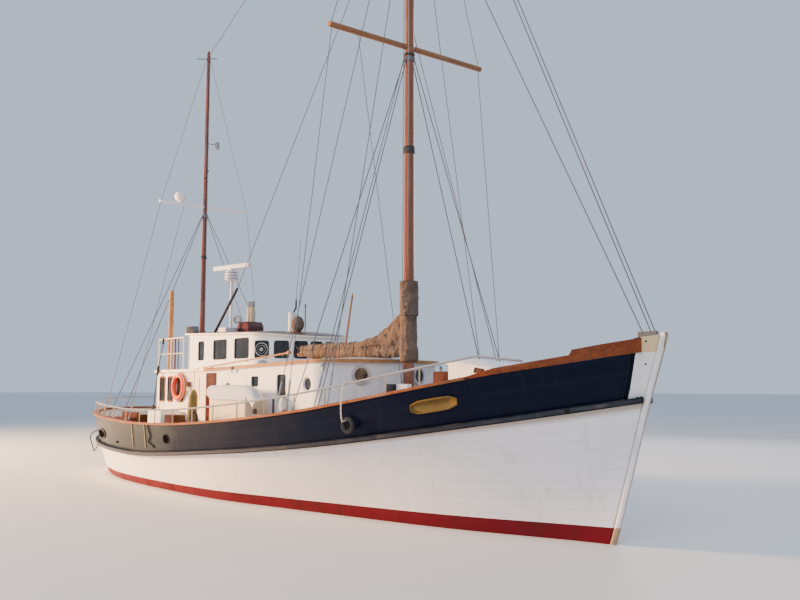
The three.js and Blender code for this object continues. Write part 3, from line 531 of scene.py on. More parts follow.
joint = [(9.593, 0.353, 3.03, 0.022), (9.490, 0.305, 2.69, 0.022), (9.365, 0.267, 2.32, 0.020)]
seams = [[(x, hand * y, z, radius) for x, y, z, radius in joint] for hand in (-1, 1)]
fit(drawn("knee_seams", seams, 8), navy)


# The rubbing strake is black with a worn steel half-round on it. The cap rail is oiled wood from
# the stern to the bow, where a tall mahogany wash strake carries on to the stem.
iron_black = painted("strake_black", (0.007, 0.007, 0.008), (0.12, 0.10, 0.08), wear=0.3, runs=0.1,
                     scale=2.0, gloss=0.4, specular_ior_level=0.15)
worn_steel = painted("worn_half_round", (0.016, 0.019, 0.028), (0.13, 0.115, 0.10), wear=0.45,
                     runs=0.0, scale=3.0, gloss=0.3, specular_ior_level=0.3)


def faces_outward(face):
    """Whether a face of the strake looks away from the hull."""
    upright_face = abs(face.normal.z) < 0.5 and face.area > 0.01
    return upright_face and (face.normal.y * face.center.y > 0.3
                             or face.normal.x * face.center.x > 3)


strake = smoothed("rub_strake", "rubbing_strake")
choose(strake, faces_outward)
bpy.ops.mesh.inset(thickness=0.022, depth=0.012)
bpy.ops.object.mode_set(mode="OBJECT")
fit(strake, [iron_black, worn_steel], stands_for=["rub_strake"])
paint_faces(strake, lambda face: face.select)


def wood_grain():
    """Varnished or oiled wood with its grain drawn out along one axis."""
    group, given, send = new_group("wood_grain", {
        "Light": (0.4, 0.2, 0.08, 1), "Dark": (0.15, 0.05, 0.02, 1), "Stretch": (1.0, 1.0, 1.0),
        "Weathered": 0.2, "Gloss": 0.3})
    bare_wood = (0.30, 0.24, 0.19, 1)
    place = put(group, "TexCoord").outputs["Object"]
    fibres = put(group, "Mapping", {"Vector": place, "Scale": given["Stretch"]}).outputs[0]
    figure = spread(group, clouds(group, fibres, 5.0, 9.0, Roughness=0.6, Distortion=0.8), 0.34,
                    0.66)
    pores = clouds(group, fibres, 26.0, 4.0)
    bare = spread(group, clouds(group, place, 1.3, 5.0), 0.5, 0.75)
    faded = times(group, bare, given["Weathered"])
    greyed = blend(group, faded, blend(group, figure, given["Dark"], given["Light"]), bare_wood)
    send(colour=toned(group, greyed, spread(group, pores, 0.0, 1.0, 0.8, 1.15)),
         roughness=times_plus(group, faded, 0.5, given["Gloss"]), height=pores)
    return group


grain = wood_grain()
# How a grain is drawn out along x, y and z.
lengthways, upright, athwart = (0.25, 3.0, 3.0), (4.0, 4.0, 0.25), (3.0, 0.25, 3.0)


def varnished(name, light, dark, stretch, weathered, gloss, **more):
    """Finish of oiled or varnished wood."""
    return finish_of(name, grain, {"Light": (*light, 1), "Dark": (*dark, 1), "Stretch": stretch,
                                   "Weathered": weathered, "Gloss": gloss}, **more)


rail_oil = varnished("oiled_rail", (0.26, 0.092, 0.028), (0.155, 0.046, 0.014), lengthways,
                     weathered=0.4, gloss=0.45, specular_ior_level=0.3)
dress("cap_rail", "cap_rail_wood", rail_oil, "honey_wood", bevel=0.01)
strake_varnish = varnished("strake_mahogany", (0.225, 0.050, 0.007), (0.125, 0.024, 0.004),
                           lengthways, weathered=0.04, gloss=0.25, bump=0.08,
                           specular_ior_level=0.25, coat_weight=0.08)
both_sides = (("starboard", -1), ("port", 1))
fore_end, end_area = 9.54, 0.01
for side, hand in both_sides:
    wash_strake = smoothed(f"wash_strake_{side}", f"wash_strake_wood_{side}", bevel=0.008)
    choose(wash_strake, lambda face: face.center.x > fore_end and face.area < end_area)
    bpy.ops.transform.translate(value=(0.150, hand * -0.100, 0.018))
    bpy.ops.object.mode_set(mode="OBJECT")
    fit(wash_strake, strake_varnish, stands_for=[f"wash_strake_{side}"])


# The deck: bare scrubbed planks with black seams, laid fore and aft on the beams. The three
# lengths of its solid are closed to one deck again.
deck_wood = finish_of("scrubbed_deck", planks, {
    "Along": "Object", "Paint": (0.33, 0.24, 0.16, 1), "Stain": (0.17, 0.12, 0.085, 1),
    "Seam": (0.02, 0.018, 0.016, 1), "Wear": 0.5, "Runs": 0.0, "Scale": 1.6, "Gloss": 0.65,
    "Board": 3.4, "Row": 0.105, "Gap": 0.006, "Uneven": 0.5})
deck_nodes = [f"deck_{part}" for part in ("aft", "mid", "fore")]
deck_cuts = (-1.9, 4.0)
deck = fit(welded("deck_planks", deck_nodes, deck_cuts), deck_wood, stands_for=deck_nodes)


# The name boards: blank wooden boards in aged gilt with a raised border, screwed over the
# planking of both bows.
gilt = painted("aged_gilt", (0.165, 0.098, 0.015), (0.085, 0.048, 0.011), wear=0.6, runs=0.3,
               scale=5.0, gloss=0.4, bump=0.2, metallic=0.2)
for side, hand in both_sides:
    board = smoothed(f"name_board_{side}", f"gilt_board_{side}", bevel=0.006)
    choose(board, lambda face: face.normal.y * hand > 0.75)
    bpy.ops.mesh.inset(thickness=0.014, depth=0)
    bpy.ops.mesh.inset(thickness=0.005, depth=-0.004)
    bpy.ops.object.mode_set(mode="OBJECT")
    fit(board, gilt, stands_for=[f"name_board_{side}"])


# The stern gear: a wooden rudder on a steel heel bar, both under antifouling, and a cast bronze
# propeller on its shaft ahead of it.
bronze = painted("propeller_bronze", (0.46, 0.27, 0.10), (0.10, 0.16, 0.11), wear=0.5, runs=0.0,
                 scale=6.0, gloss=0.28, metallic=0.9)
dress("rudder_heel", "heel_bar", antifouling, "antifouling", bevel=0.008)
dress("rudder", "rudder_blade", antifouling, "antifouling", "rudder", bevel=0.01)
dress("propeller", "propeller_blades", bronze, "bronze", "propeller", angle=50)


# The deckhouse and the aft house: smooth white walls forward and cream ones aft, of painted ply on
# a frame, with a low moulding along the foot.
house_white = painted("house_white", (0.83, 0.81, 0.83), (0.52, 0.43, 0.34), wear=0.16, runs=0.34,
                      scale=1.4, gloss=0.34, bump=0.12)
house_cream = painted("house_cream", (0.84, 0.78, 0.66), (0.45, 0.34, 0.22), wear=0.3, runs=0.45,
                      scale=1.8, gloss=0.42, bump=0.14)
dress("deckhouse_walls", "deckhouse_shell", house_white, "white_paint")
cabin_nodes = ["aft_house_end", "aft_house_walls"]
fit(welded("aft_house_shell", cabin_nodes, (-5.29,)), house_cream,
    stands_for=cabin_nodes)
for side, hand in both_sides:
    line = [(x, hand * 1.622, z, 0.022) for x, z in ((-1.55, 1.19), (0.2, 1.26), (1.6, 1.42),
                                                     (2.55, 1.52))]
    fit(drawn(f"house_foot_moulding_{side}", [line]), house_white)


# The roofs: canvas laid in pale paint over boards, edged with varnished trim, honey coloured on
# the house and dark on the wheelhouse.
roof_canvas = painted("painted_roof_canvas", (0.70, 0.68, 0.63), (0.34, 0.30, 0.25), wear=0.6,
                      runs=0.1, scale=1.2, gloss=0.62, bump=0.3)
honey_trim = varnished("honey_trim", (0.50, 0.25, 0.072), (0.31, 0.130, 0.034), lengthways,
                       weathered=0.4, gloss=0.32, bump=0.1)
dark_trim = varnished("dark_trim", (0.16, 0.042, 0.015), (0.085, 0.018, 0.008), lengthways,
                      weathered=0.25, gloss=0.28, bump=0.1)
trim_cream = painted("trim_cream", (0.82, 0.76, 0.64), (0.40, 0.30, 0.20), wear=0.35, runs=0.3,
                     scale=3.0, gloss=0.4)
aft_house_edge = -2.19


def roof_finish(face):
    """Canvas (1) above and below, cream trim (2) round the aft house, honey trim (0) forward."""
    if abs(face.normal.z) > 0.7:
        return 1
    return 2 * (face.center.x < aft_house_edge)


house_boards = smoothed("house_roof", "house_roof_boards", bevel=0.008)
fit(house_boards, [honey_trim, roof_canvas, trim_cream], stands_for=["house_roof"])
paint_faces(house_boards, roof_finish)
bridge_boards = smoothed("wheelhouse_roof", "wheelhouse_roof_boards", bevel=0.022)
fit(bridge_boards, [trim_cream, dark_trim], stands_for=["wheelhouse_roof"])
paint_faces(bridge_boards, lambda face: face.normal.z > 0.12)


# The wheelhouse walls: painted ply on a frame, white like the house, bent round at the front and
# cut open for the panes.
dress("wheelhouse_walls", "wheelhouse_shell", house_white, "white_paint")


# The windows: near-black, mostly opaque panes set into the walls, painted shade of the unlit rooms
# behind them. The wheelhouse's are held in black rubber, the round ports in white, grey or black
# rings, and those of the aft house in thin brown frames. Two on each side of the aft house are
# closed with cream storm panels.
def set_down():
    """Puts the active piece's place, turn and size into its mesh."""
    bpy.ops.object.transform_apply(location=True, rotation=True, scale=True)


def turned_to(facing):
    """Rotation that lays a flat shape's face this way."""
    return facing.to_track_quat("Z", "Y").to_euler()


frame_depth, pane_step, edge_width, edge_rise = 0.054, 0.014, 0.004, 0.003


def window(name, centre, facing, width, height, corner, lip, sunk, rim, finishes, slot):
    """Framed pane. The frame laps over the opening's edge and is sunk below the wall's face."""
    out = Vector(facing).normalized()
    bpy.ops.mesh.primitive_plane_add(size=1, location=Vector(centre) - out * frame_depth,
                                     rotation=turned_to(out))
    piece = bpy.context.object
    piece.name = name
    piece.scale = (width + 2 * lip, height + 2 * lip, 1)
    set_down()
    edit_all()
    bpy.ops.mesh.bevel(offset=min(corner + lip, width / 2 + lip - 0.001), segments=6,
                       affect="VERTICES")
    bpy.ops.mesh.extrude_region_move(TRANSFORM_OT_translate={"value": out * (frame_depth - sunk)})
    bpy.ops.mesh.inset(thickness=edge_width, depth=edge_rise)
    bpy.ops.mesh.inset(thickness=rim + lip - edge_width, depth=0)
    bpy.ops.mesh.extrude_region_move(TRANSFORM_OT_translate={"value": out * -pane_step})
    bpy.ops.object.mode_set(mode="OBJECT")
    pane = [face.index for face in piece.data.polygons if face.select]
    edit_all()
    bpy.ops.mesh.normals_make_consistent(inside=False)
    bpy.ops.object.mode_set(mode="OBJECT")
    soften(30)
    fit(piece, finishes)
    paint_faces(piece, lambda face: face.index in pane)
    return piece


def on_bridge_front(angle, height):
    """Place on the wheelhouse's round front, an ellipse, and the way that it faces there."""
    middle_x, reach, half_breadth = -0.5, 0.8, 1.35
    bearing = math.radians(angle)
    place = (middle_x + reach * math.cos(bearing), half_breadth * math.sin(bearing), height)
    return place, (math.cos(bearing) / reach, math.sin(bearing) / half_breadth, 0)


# Near black and mostly opaque: the panes carry painted shade for the unlit rooms behind them.
glass_with_painted_shade = painted("salted_glass", (0.012, 0.016, 0.019), (0.09, 0.085, 0.075), wear=0.35,
                     runs=0.3, scale=3.0, gloss=0.05, bump=0.01, alpha=0.86)
black_rubber = painted("black_rubber", (0.015, 0.015, 0.016), (0.07, 0.06, 0.05), wear=0.3,
                       runs=0.3, scale=6.0, gloss=0.55)
rail_grey = painted("handrail_grey", (0.46, 0.46, 0.47), (0.22, 0.15, 0.10), wear=0.4, runs=0.1,
                    scale=6.0, gloss=0.35, metallic=0.5)
window_brown = varnished("window_brown", (0.22, 0.09, 0.04), (0.10, 0.04, 0.02), upright,
                         weathered=0.3, gloss=0.35)
# How a frame sits: its lap over the wall, how deep it is sunk, the width of its rim.
rubber_seat, thin_seat = (0.004, 0.028, 0.020), (0.034, -0.012, 0.006)
bridge_seat = (0.004, 0.022, 0.022)
house_side, cabin_side, bridge_side = 1.62, 1.48, 1.35
# Columns: name, length, height, width, tall, corner, seat, frame, slot, half-breadth of the wall.
side_windows = [
    ("aft_port", -1.05, 2.44, 0.33, 0.33, 0.165, (0.004, 0.028, 0.022), black_rubber,
     "black_iron", house_side),
    ("fore_port", 2.39, 2.555, 0.33, 0.33, 0.165, (0.004, 0.024, 0.034), house_white,
     "white_paint", house_side),
    ("galley_window", 0.225, 2.62, 0.33, 0.24, 0.04, rubber_seat, black_rubber,
     "black_iron", house_side),
    ("saloon_window", 1.37, 2.525, 0.38, 0.49, 0.06, rubber_seat, black_rubber,
     "black_iron", house_side),
    *[(f"cabin_window_{number}", x, 2.44, 0.30, 0.62, 0.04, thin_seat, window_brown,
       "mahogany", cabin_side) for number, x in ((3, -3.9), (4, -4.5), (5, -5.0))],
    *[(f"bridge_window_{number}", x, 3.415, width, 0.50, 0.06, bridge_seat, black_rubber,
       "black_iron", bridge_side)
      for number, x, width in ((1, -3.02, 0.36), (2, -2.0, 0.74), (3, -0.91, 0.74))],
]
for name, x, z, width, tall, corner, seat, frame_finish, slot, half in side_windows:
    for side, hand in both_sides:
        window(f"{name}_{side}", (x, hand * half, z), (0, hand, 0), width, tall, corner, *seat,
               [frame_finish, glass_with_painted_shade], slot)
for side, hand in both_sides:
    window(f"nose_port_{side}", (3.122, hand * 0.775, 2.745), (0.97, hand * 0.243, 0), 0.30, 0.30,
           0.15, 0.05, -0.03, 0.002, [rail_grey, glass_with_painted_shade], "galvanised")
    window(f"bridge_aft_window_{side}", (-3.73, hand * 0.7, 3.415), (-1, 0, 0), 0.62, 0.48, 0.06,
           *bridge_seat, [black_rubber, glass_with_painted_shade], "black_iron")
for side, hand in both_sides:
    for number, x in ((1, -2.7), (2, -3.3)):
        window(f"cabin_shutter_{number}_{side}", (x, hand * cabin_side, 2.44), (0, hand, 0), 0.30,
               0.62, 0.04, 0.004, 0.004, 0.02, [house_cream, house_cream], "cream_paint")
window("cabin_aft_window", (-5.35, -0.7, 2.44), (-1, 0, 0), 0.42, 0.50, 0.04, *thin_seat,
       [window_brown, glass_with_painted_shade], "mahogany")
for angle in (-66, -40, -18, 0, 18, 40, 66):
    place, facing = on_bridge_front(angle, 3.37)
    window(f"bridge_front_window_{angle + 90:03d}", place, facing, 0.352, 0.42, 0.055, 0.004, 0.020,
           0.020, [black_rubber, glass_with_painted_shade], "black_iron")


# The clear-view screen: a spinning glass disc in a pale ring, with its motor at the hub, set in
# the foremost side pane of the bridge on the starboard bow.
screen_grey = painted("screen_ring", (0.36, 0.37, 0.38), (0.16, 0.13, 0.10), wear=0.4, runs=0.2,
                      scale=9.0, gloss=0.3, metallic=0.6)
place, facing = on_bridge_front(-66, 3.37)
out = Vector(facing).normalized()
middle = Vector(place) - out * 0.020
rings = []
for radius, thick in ((0.150, 0.010), (0.095, 0.004), (0.030, 0.016)):
    bpy.ops.mesh.primitive_torus_add(location=middle, rotation=turned_to(out), major_radius=radius,
                                     minor_radius=thick, major_segments=40, minor_segments=8)
    set_down()
    rings.append(bpy.context.object)
hub_shape = ((-0.02, 0.03), (0.012, 0.03), (0.026, 0.018))
hub = [(*(middle + out * reach), radius) for reach, radius in hub_shape]
rings.append(drawn("screen_motor", [hub]))
fit(joined("clear_view_screen", rings), screen_grey)


# The doors: varnished mahogany leaves with two sunk panels, a lever on each side and three
# hinges on the jamb.
door_wood = varnished("door_mahogany", (0.072, 0.015, 0.005), (0.037, 0.008, 0.003), upright,
                      weathered=0.15, gloss=0.35, bump=0.12, specular_ior_level=0.2)
# Columns: node, axis across the leaf, hinge, handle.
leaves = [("door_starboard", 1, (-2.166, -1.590), (-1.665, -1.590)),
          ("door_port", 1, (-2.166, 1.590), (-1.665, 1.590)),
          ("door_aft", 0, (-5.320, 0.941), (-5.320, 0.410)),
          ("companion_door", 0, (5.519, 0.308), (5.519, -0.260))]
hinge_heights, hinge_half, hinge_radius = (0.12, 0.5, 0.88), 0.05, 0.011
middle_rail, lever_height, lever_radius = 0.42, 0.46, 0.009
lever_shape = ((0.015, 0), (0.055, 0), (0.058, 0.09))  # how far out of the leaf, how far along it
for node, across, hinge, handle in leaves:
    low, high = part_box(node)
    tall = high[2] - low[2]
    leaf = smoothed(node, f"{node}_leaf")
    edit_all()
    bpy.ops.mesh.dissolve_limited(angle_limit=math.radians(2))
    sliced((0, 0, low[2] + middle_rail * tall), up)
    bpy.ops.object.mode_set(mode="OBJECT")
    choose(leaf, lambda face: abs(face.normal[across]) > 0.9)
    bpy.ops.mesh.inset(thickness=0.075, depth=0, use_individual=True)
    bpy.ops.mesh.inset(thickness=0.012, depth=-0.009, use_individual=True)
    bpy.ops.object.mode_set(mode="OBJECT")
    fit(leaf, door_wood, node, [node])
    lines = [[(*hinge, low[2] + share * tall + dz, hinge_radius)
              for dz in (-hinge_half, hinge_half)] for share in hinge_heights]
    inwards = 1 if handle[1 - across] < hinge[1 - across] else -1
    for way in (-1, 1):
        points = []
        for proud, along in lever_shape:
            spot = [*handle, low[2] + lever_height * tall, lever_radius]
            spot[across] += way * proud
            spot[1 - across] += along * inwards
            points.append(tuple(spot))
        lines.append(points)
    fit(drawn(f"{node}_fittings", lines), iron, node)


# The companion over the fore cabin's ladder: a white hood with a cambered top, a brown half-round
# vent on each side, and a varnished side board at its steps.
dress("companion", "companion_hood", house_white, "white_paint", bevel=0.006)
dress("companion_rail", "companion_side_board", door_wood, "mahogany", bevel=0.006)
vent_x, vent_z, vent_radius = 6.34, 2.76, 0.13
on_side = (math.radians(90), 0, 0)
for side, hand in both_sides:
    bpy.ops.mesh.primitive_circle_add(vertices=40, radius=vent_radius, fill_type="NGON",
                                      rotation=on_side, location=(vent_x, hand * 0.462, vent_z))
    vent = bpy.context.object
    vent.name = f"companion_vent_{side}"
    set_down()
    bpy.ops.object.mode_set(mode="EDIT")
    sliced((vent_x, 0, vent_z), up, clear_inner=True)
    bpy.ops.mesh.select_all(action="SELECT")
    bpy.ops.mesh.extrude_region_move(TRANSFORM_OT_translate={"value": (0, hand * 0.03, 0)})
    bpy.ops.mesh.inset(thickness=0.014, depth=0)
    bpy.ops.mesh.extrude_region_move(TRANSFORM_OT_translate={"value": (0, hand * -0.012, 0)})
    bpy.ops.mesh.select_all(action="SELECT")
    bpy.ops.mesh.normals_make_consistent(inside=False)
    bpy.ops.object.mode_set(mode="OBJECT")
    fit(vent, door_wood)


# The windlass on the foredeck: an iron bed with two cheeks and a galvanised drum, and the iron
# bitts at the bow and the stern.
galvanised = painted("galvanised_steel", (0.30, 0.31, 0.32), (0.15, 0.10, 0.06), wear=0.4, runs=0.2,
                     scale=8.0, gloss=0.45, metallic=0.7)
dress("windlass", "windlass_bed", iron, "black_iron", bevel=0.008)
dress("windlass_drum", "windlass_barrel", galvanised, "galvanised", "windlass_drum", bevel=0.006)
for end in ("bow", "stern"):
    for side in ("starboard", "port"):
        node = f"bitts_{end}_{side}"
        dress(node, f"{node}_posts", iron, "black_iron", bevel=0.008)
dress("capstan", "capstan_head", iron, "black_iron", bevel=0.006)


# The masts: varnished spars, honey brown forward and dark red aft, each with a crosstree. Iron
# bands carry the wires, and the mizzen's crosstree carries a dome.
mast_honey = varnished("main_mast_varnish", (0.235, 0.072, 0.019), (0.130, 0.034, 0.010), upright,
                       weathered=0.12, gloss=0.26, bump=0.06, coat_weight=0.3)
mast_red = varnished("mizzen_mast_varnish", (0.130, 0.031, 0.012), (0.066, 0.014, 0.006), upright,
                     weathered=0.12, gloss=0.26, bump=0.06, coat_weight=0.3)
spar_varnish = varnished("crosstree_varnish", (0.33, 0.13, 0.036), (0.19, 0.064, 0.017), athwart,
                         weathered=0.25, gloss=0.3)
dress("main_mast", "main_mast_spar", mast_honey, "honey_wood")
dress("mizzen_mast", "mizzen_mast_spar", mast_red, "mahogany")
dress("main_crosstree", "main_crosstree_spar", spar_varnish, "honey_wood")
dress("mizzen_crosstree", "mizzen_crosstree_spar", house_white, "white_paint")
main_x, mizzen_x = 3.75, -5.7
# Columns: name, length, radius of the mast there, height, how tall.
bands = [("main_black_band", main_x, 0.110, 7.5, 0.16),
         ("main_spar_band", main_x, 0.106, 9.584, 0.05),
         ("mizzen_upper_band", mizzen_x, 0.072, 6.25, 0.10),
         ("mizzen_lower_band", mizzen_x, 0.086, 4.1, 0.05)]
chamfer, thin, thick = 0.008, 0.004, 0.012
for name, x, radius, z, tall in bands:
    half = tall / 2
    profile = [(x, 0, z - half, radius + thin), (x, 0, z - half + chamfer, radius + thick),
               (x, 0, z + half - chamfer, radius + thick), (x, 0, z + half, radius + thin)]
    fit(drawn(name, [profile], 28), iron)


# The boom and its furled sail. The sail is brown tanned canvas, flaked and rolled along the boom,
# its head drawn up to the mast and wrapped round it, held by tarred lashings.
dress("boom", "boom_spar", spar_varnish, "honey_wood", "boom")


def tanned_cloth():
    """Creased woven cloth, with painted shade darkening its folds."""
    group, given, send = new_group("tanned_cloth", {
        "Paint": (0.3, 0.18, 0.1, 1), "Stain": (0.1, 0.06, 0.04, 1), "Folds": 3.0, "Weave": 260.0,
        "Gloss": 0.85})
    mildew = (0.12, 0.10, 0.085, 1)
    place = put(group, "TexCoord").outputs["Object"]
    folds = clouds(group, place, given["Folds"], 7.0, Distortion=1.2)
    weave = put(group, "TexWave", {"Vector": place, "Scale": given["Weave"],
                                   "Distortion": 1.5}).outputs[0]
    patch = spread(group, clouds(group, place, 1.1, 4.0), 0.42, 0.66, 0.0, 0.6)
    # The stain colour fills the low parts of the fold noise: painted shade in the creases.
    tone = blend(group, spread(group, folds, 0.36, 0.62), given["Stain"], given["Paint"])
    send(colour=blend(group, patch, tone, mildew), roughness=given["Gloss"],
         height=times_plus(group, folds, 6.0, weave))
    return group


cloth = tanned_cloth()
# The sail's stain colour is the painted shade in its folds.
sail_cloth = finish_of("tanned_sail", cloth, {
    "Paint": (0.20, 0.125, 0.078, 1), "Stain": (0.095, 0.062, 0.043, 1), "Folds": 2.2,
    "Weave": 120.0, "Gloss": 0.88}, bump=0.4, depth=0.010)


def apply_last(piece):
    """Applies the modifier that was added last."""
    bpy.ops.object.modifier_apply(modifier=piece.modifiers[-1].name)


def slackened(piece, voxel, folds, strength):
    """Turns a smooth solid into soft cloth: remeshed, pushed in and out by folds, and relaxed."""
    pick(piece)
    piece.data.remesh_voxel_size = voxel
    bpy.ops.object.voxel_remesh()
    for size, share in ((folds, 1.0), (folds * 0.4, 0.45)):
        crease = bpy.data.textures.new(f"{piece.name}_folds", "CLOUDS")
        crease.noise_scale = size
        bpy.ops.object.modifier_add(type="DISPLACE")
        piece.modifiers[-1].texture = crease
        piece.modifiers[-1].strength = strength * share
        piece.modifiers[-1].mid_level = 0.72
        apply_last(piece)
    bpy.ops.object.modifier_add(type="SMOOTH")
    piece.modifiers[-1].iterations = 2
    apply_last(piece)
    bpy.ops.object.shade_smooth()
    return piece


swung = math.radians(195)  # the boom's bearing at rest
along = Vector((math.cos(swung), math.sin(swung), 0))
across = Vector((-math.sin(swung), math.cos(swung), 0))
# Columns: length along the boom, height, radius.
bulges = ((0.20, 3.20, 0.10), (0.6, 3.23, 0.135), (1.2, 3.24, 0.14), (2.0, 3.245, 0.135),
          (2.7, 3.25, 0.12), (3.05, 3.27, 0.08))
belly = [(*(Vector((main_x, 0, z)) + along * run), radius) for run, z, radius in bulges]
skirt = [(main_x, 0, z, radius)
         for z, radius in ((3.00, 0.17), (3.04, 0.21), (3.30, 0.215), (3.38, 0.18))]
bundle = joined("furled_canvas", [smoothed("furled_sail", "sail_bundle"),
                                  drawn("sail_bunt", [belly, skirt], 20)])
sail = slackened(bundle, voxel=0.016, folds=0.20, strength=0.060)
fit(sail, sail_cloth, "boom", ["furled_sail"])
tarred = painted("tanned_cord", (0.17, 0.12, 0.085), (0.07, 0.05, 0.035), wear=0.5, runs=0.0,
                 scale=20.0, gloss=0.85)
loops, steps, cord_radius = [], 28, 0.009
for run in (0.72, 1.08, 1.42, 1.80, 2.20, 2.58, 2.90):
    centre = Vector((main_x, 0, 3.33)) + along * run
    loop = []
    for step in range(steps + 1):
        turn = math.radians(step * 360 / steps)
        ray = across * math.cos(turn) + Vector(up) * math.sin(turn)
        struck, spot, _, _ = sail.ray_cast(centre + ray * 0.9, -ray)
        loop.append((*(spot + ray * 0.006 if struck else centre + ray * 0.12), cord_radius))
    loops.append(loop)
fit(drawn("sail_lashings", loops, 8), tarred, "boom")


# On the wheelhouse roof: the radar on its post, the exhaust in its brown hood, a black box and the
# searchlight under its cover beside a white cylinder.
grey_plastic = painted("aerial_plastic", (0.68, 0.68, 0.68), (0.30, 0.26, 0.21), wear=0.4, runs=0.4,
                       scale=6.0, gloss=0.4)
dress("radar_post", "radar_pedestal", grey_plastic, "white_paint", bevel=0.012)
dress("radar_scanner", "radar_array", grey_plastic, "white_paint", "radar_scanner", bevel=0.02)
bead = ((-0.012, 0.002), (-0.006, 0.009), (0.006, 0.009), (0.012, 0.002))
drum_bands = [[(-3.2, -0.42, z + rise, radius + grow) for rise, grow in bead]
              for z, radius in ((5.365, 0.182), (5.44, 0.178), (5.52, 0.173))]
fit(drawn("radar_drum_bands", drum_bands, 32), galvanised)
hood_brown = painted("exhaust_hood_paint", (0.070, 0.020, 0.018), (0.12, 0.07, 0.05), wear=0.4,
                     runs=0.3, scale=4.0, gloss=0.5)
pipe_buff = painted("exhaust_pipe_paint", (0.52, 0.42, 0.28), (0.14, 0.10, 0.07), wear=0.6,
                    runs=0.6, scale=5.0, gloss=0.5)
hood_top, pipe_top = 4.215, 4.60
exhaust = smoothed("exhaust", "exhaust_stack")
bpy.ops.object.mode_set(mode="EDIT")
for height in (hood_top, pipe_top):
    sliced((0, 0, height), up)
bpy.ops.object.mode_set(mode="OBJECT")
fit(exhaust, [hood_brown, pipe_buff, galvanised], stands_for=["exhaust"])
paint_faces(exhaust, lambda face: (face.center.z > hood_top) + (face.center.z > pipe_top))
locker_grey = painted("roof_locker_grey", (0.14, 0.18, 0.20), (0.06, 0.06, 0.06), wear=0.4,
                      runs=0.2, scale=9.0, gloss=0.4)
roof_locker = smoothed("roof_box", "roof_locker", bevel=0.02)
fit(roof_locker, [iron, locker_grey], stands_for=["roof_box"])
paint_faces(roof_locker, lambda face: face.normal.x > 0.5)
searchlight = smoothed("searchlight", "covered_searchlight")
fit(searchlight, [sail_cloth, grey_plastic], stands_for=["searchlight"])
cover_end = -0.44
paint_faces(searchlight, lambda face: face.center.x < cover_end)


# Rails and posts: the painted rail round the upper deck, the varnished post at its corner, and the
# handrail along the bulwark, a grey tube on buff stanchions.
rail_cream = painted("rail_cream", (0.72, 0.67, 0.56), (0.30, 0.20, 0.12), wear=0.4, runs=0.3,
                     scale=5.0, gloss=0.4)
stanchion_buff = painted("stanchion_buff", (0.55, 0.40, 0.22), (0.24, 0.13, 0.06), wear=0.5,
                         runs=0.3, scale=5.0, gloss=0.42)
dress("upper_rail", "upper_deck_rail", rail_cream, "white_paint")
dress("yellow_post", "corner_post", honey_trim, "honey_wood")


def on_stanchion(face):
    """Whether a face of the handrail belongs to an upright."""
    heights = [rail.data.vertices[index].co.z for index in face.vertices]
    return max(heights) - min(heights) > 0.12 and abs(face.normal.z) < 0.3


rail = smoothed("handrail", "bulwark_handrail")
fit(rail, [rail_grey, stanchion_buff], stands_for=["handrail"])
paint_faces(rail, on_stanchion)


# On the aft deck: a white locker with a black lid, a bench of red-brown boards across the stern,
# and on the house's side an orange life ring with a white band at its top and a pale grab line.
deck_locker = smoothed("locker", "deck_locker", bevel=0.012)
fit(deck_locker, [house_white, black_rubber], stands_for=["locker"])
paint_faces(deck_locker, lambda face: face.normal.z > 0.5)
dress("stern_bench", "stern_bench_boards", door_wood, "mahogany", bevel=0.008)
ring_orange = painted("life_ring_orange", (0.78, 0.13, 0.04), (0.50, 0.20, 0.10), wear=0.5,
                      runs=0.3, scale=5.0, gloss=0.6)
lashing = painted("pale_lashing", (0.62, 0.57, 0.48), (0.30, 0.25, 0.19), wear=0.5, runs=0.0,
                  scale=20.0, gloss=0.8)
ring_x, ring_z, ring_radius = -3.88, 2.5, 0.30
bpy.ops.mesh.primitive_torus_add(location=(ring_x, -1.546, ring_z), rotation=on_side,
                                 major_radius=ring_radius, minor_radius=0.060, major_segments=48,
                                 minor_segments=16)
buoy = bpy.context.object
buoy.name = "life_buoy"
set_down()
bpy.ops.object.shade_smooth()


def at_top(face):
    """Whether a face of the ring lies within nine degrees of its top."""
    return abs(math.degrees(math.atan2(face.center.z - ring_z, face.center.x - ring_x)) - 90) < 9


choose(buoy, at_top)
bpy.ops.mesh.inset(thickness=0.003, depth=0.003)
bpy.ops.object.mode_set(mode="OBJECT")
fit(buoy, [ring_orange, house_white], stands_for=["life_ring"])
paint_faces(buoy, lambda face: face.select)
grab_line = []
for quarter in range(4):
    slack = []
    for share in (0, 0.25, 0.5, 0.75, 1):
        turn = math.radians(45 + 90 * (quarter + share))
        reach = 0.366 + 0.020 * math.sin(math.pi * share)
        slack.append((ring_x + reach * math.cos(turn), -1.56, ring_z + reach * math.sin(turn),
                      0.007))
    grab_line.append(slack)
fit(drawn("grab_line", grab_line, 6), lashing)


# The inflatable tender, lashed on its edge to the starboard side of the house: a silver-white air
# tube over its cream body, with a grey rubbing seam along the tube's foot that is also painted
# shade of the crease there, and a black valve.
tender_skin = painted("tender_skin", (0.55, 0.56, 0.59), (0.36, 0.33, 0.28), wear=0.3, runs=0.3,
                      scale=3.0, gloss=0.38)
tender_cream = painted("tender_body", (0.66, 0.58, 0.44), (0.34, 0.25, 0.16), wear=0.45, runs=0.5,
                       scale=3.0, gloss=0.55)
tender = slackened(smoothed("tender", "tender_hull"), voxel=0.02, folds=0.5, strength=0.02)
fit(tender, [tender_skin, tender_cream], stands_for=["tender"])
tube_edge = 2.19
paint_faces(tender, lambda face: face.center.z < tube_edge)
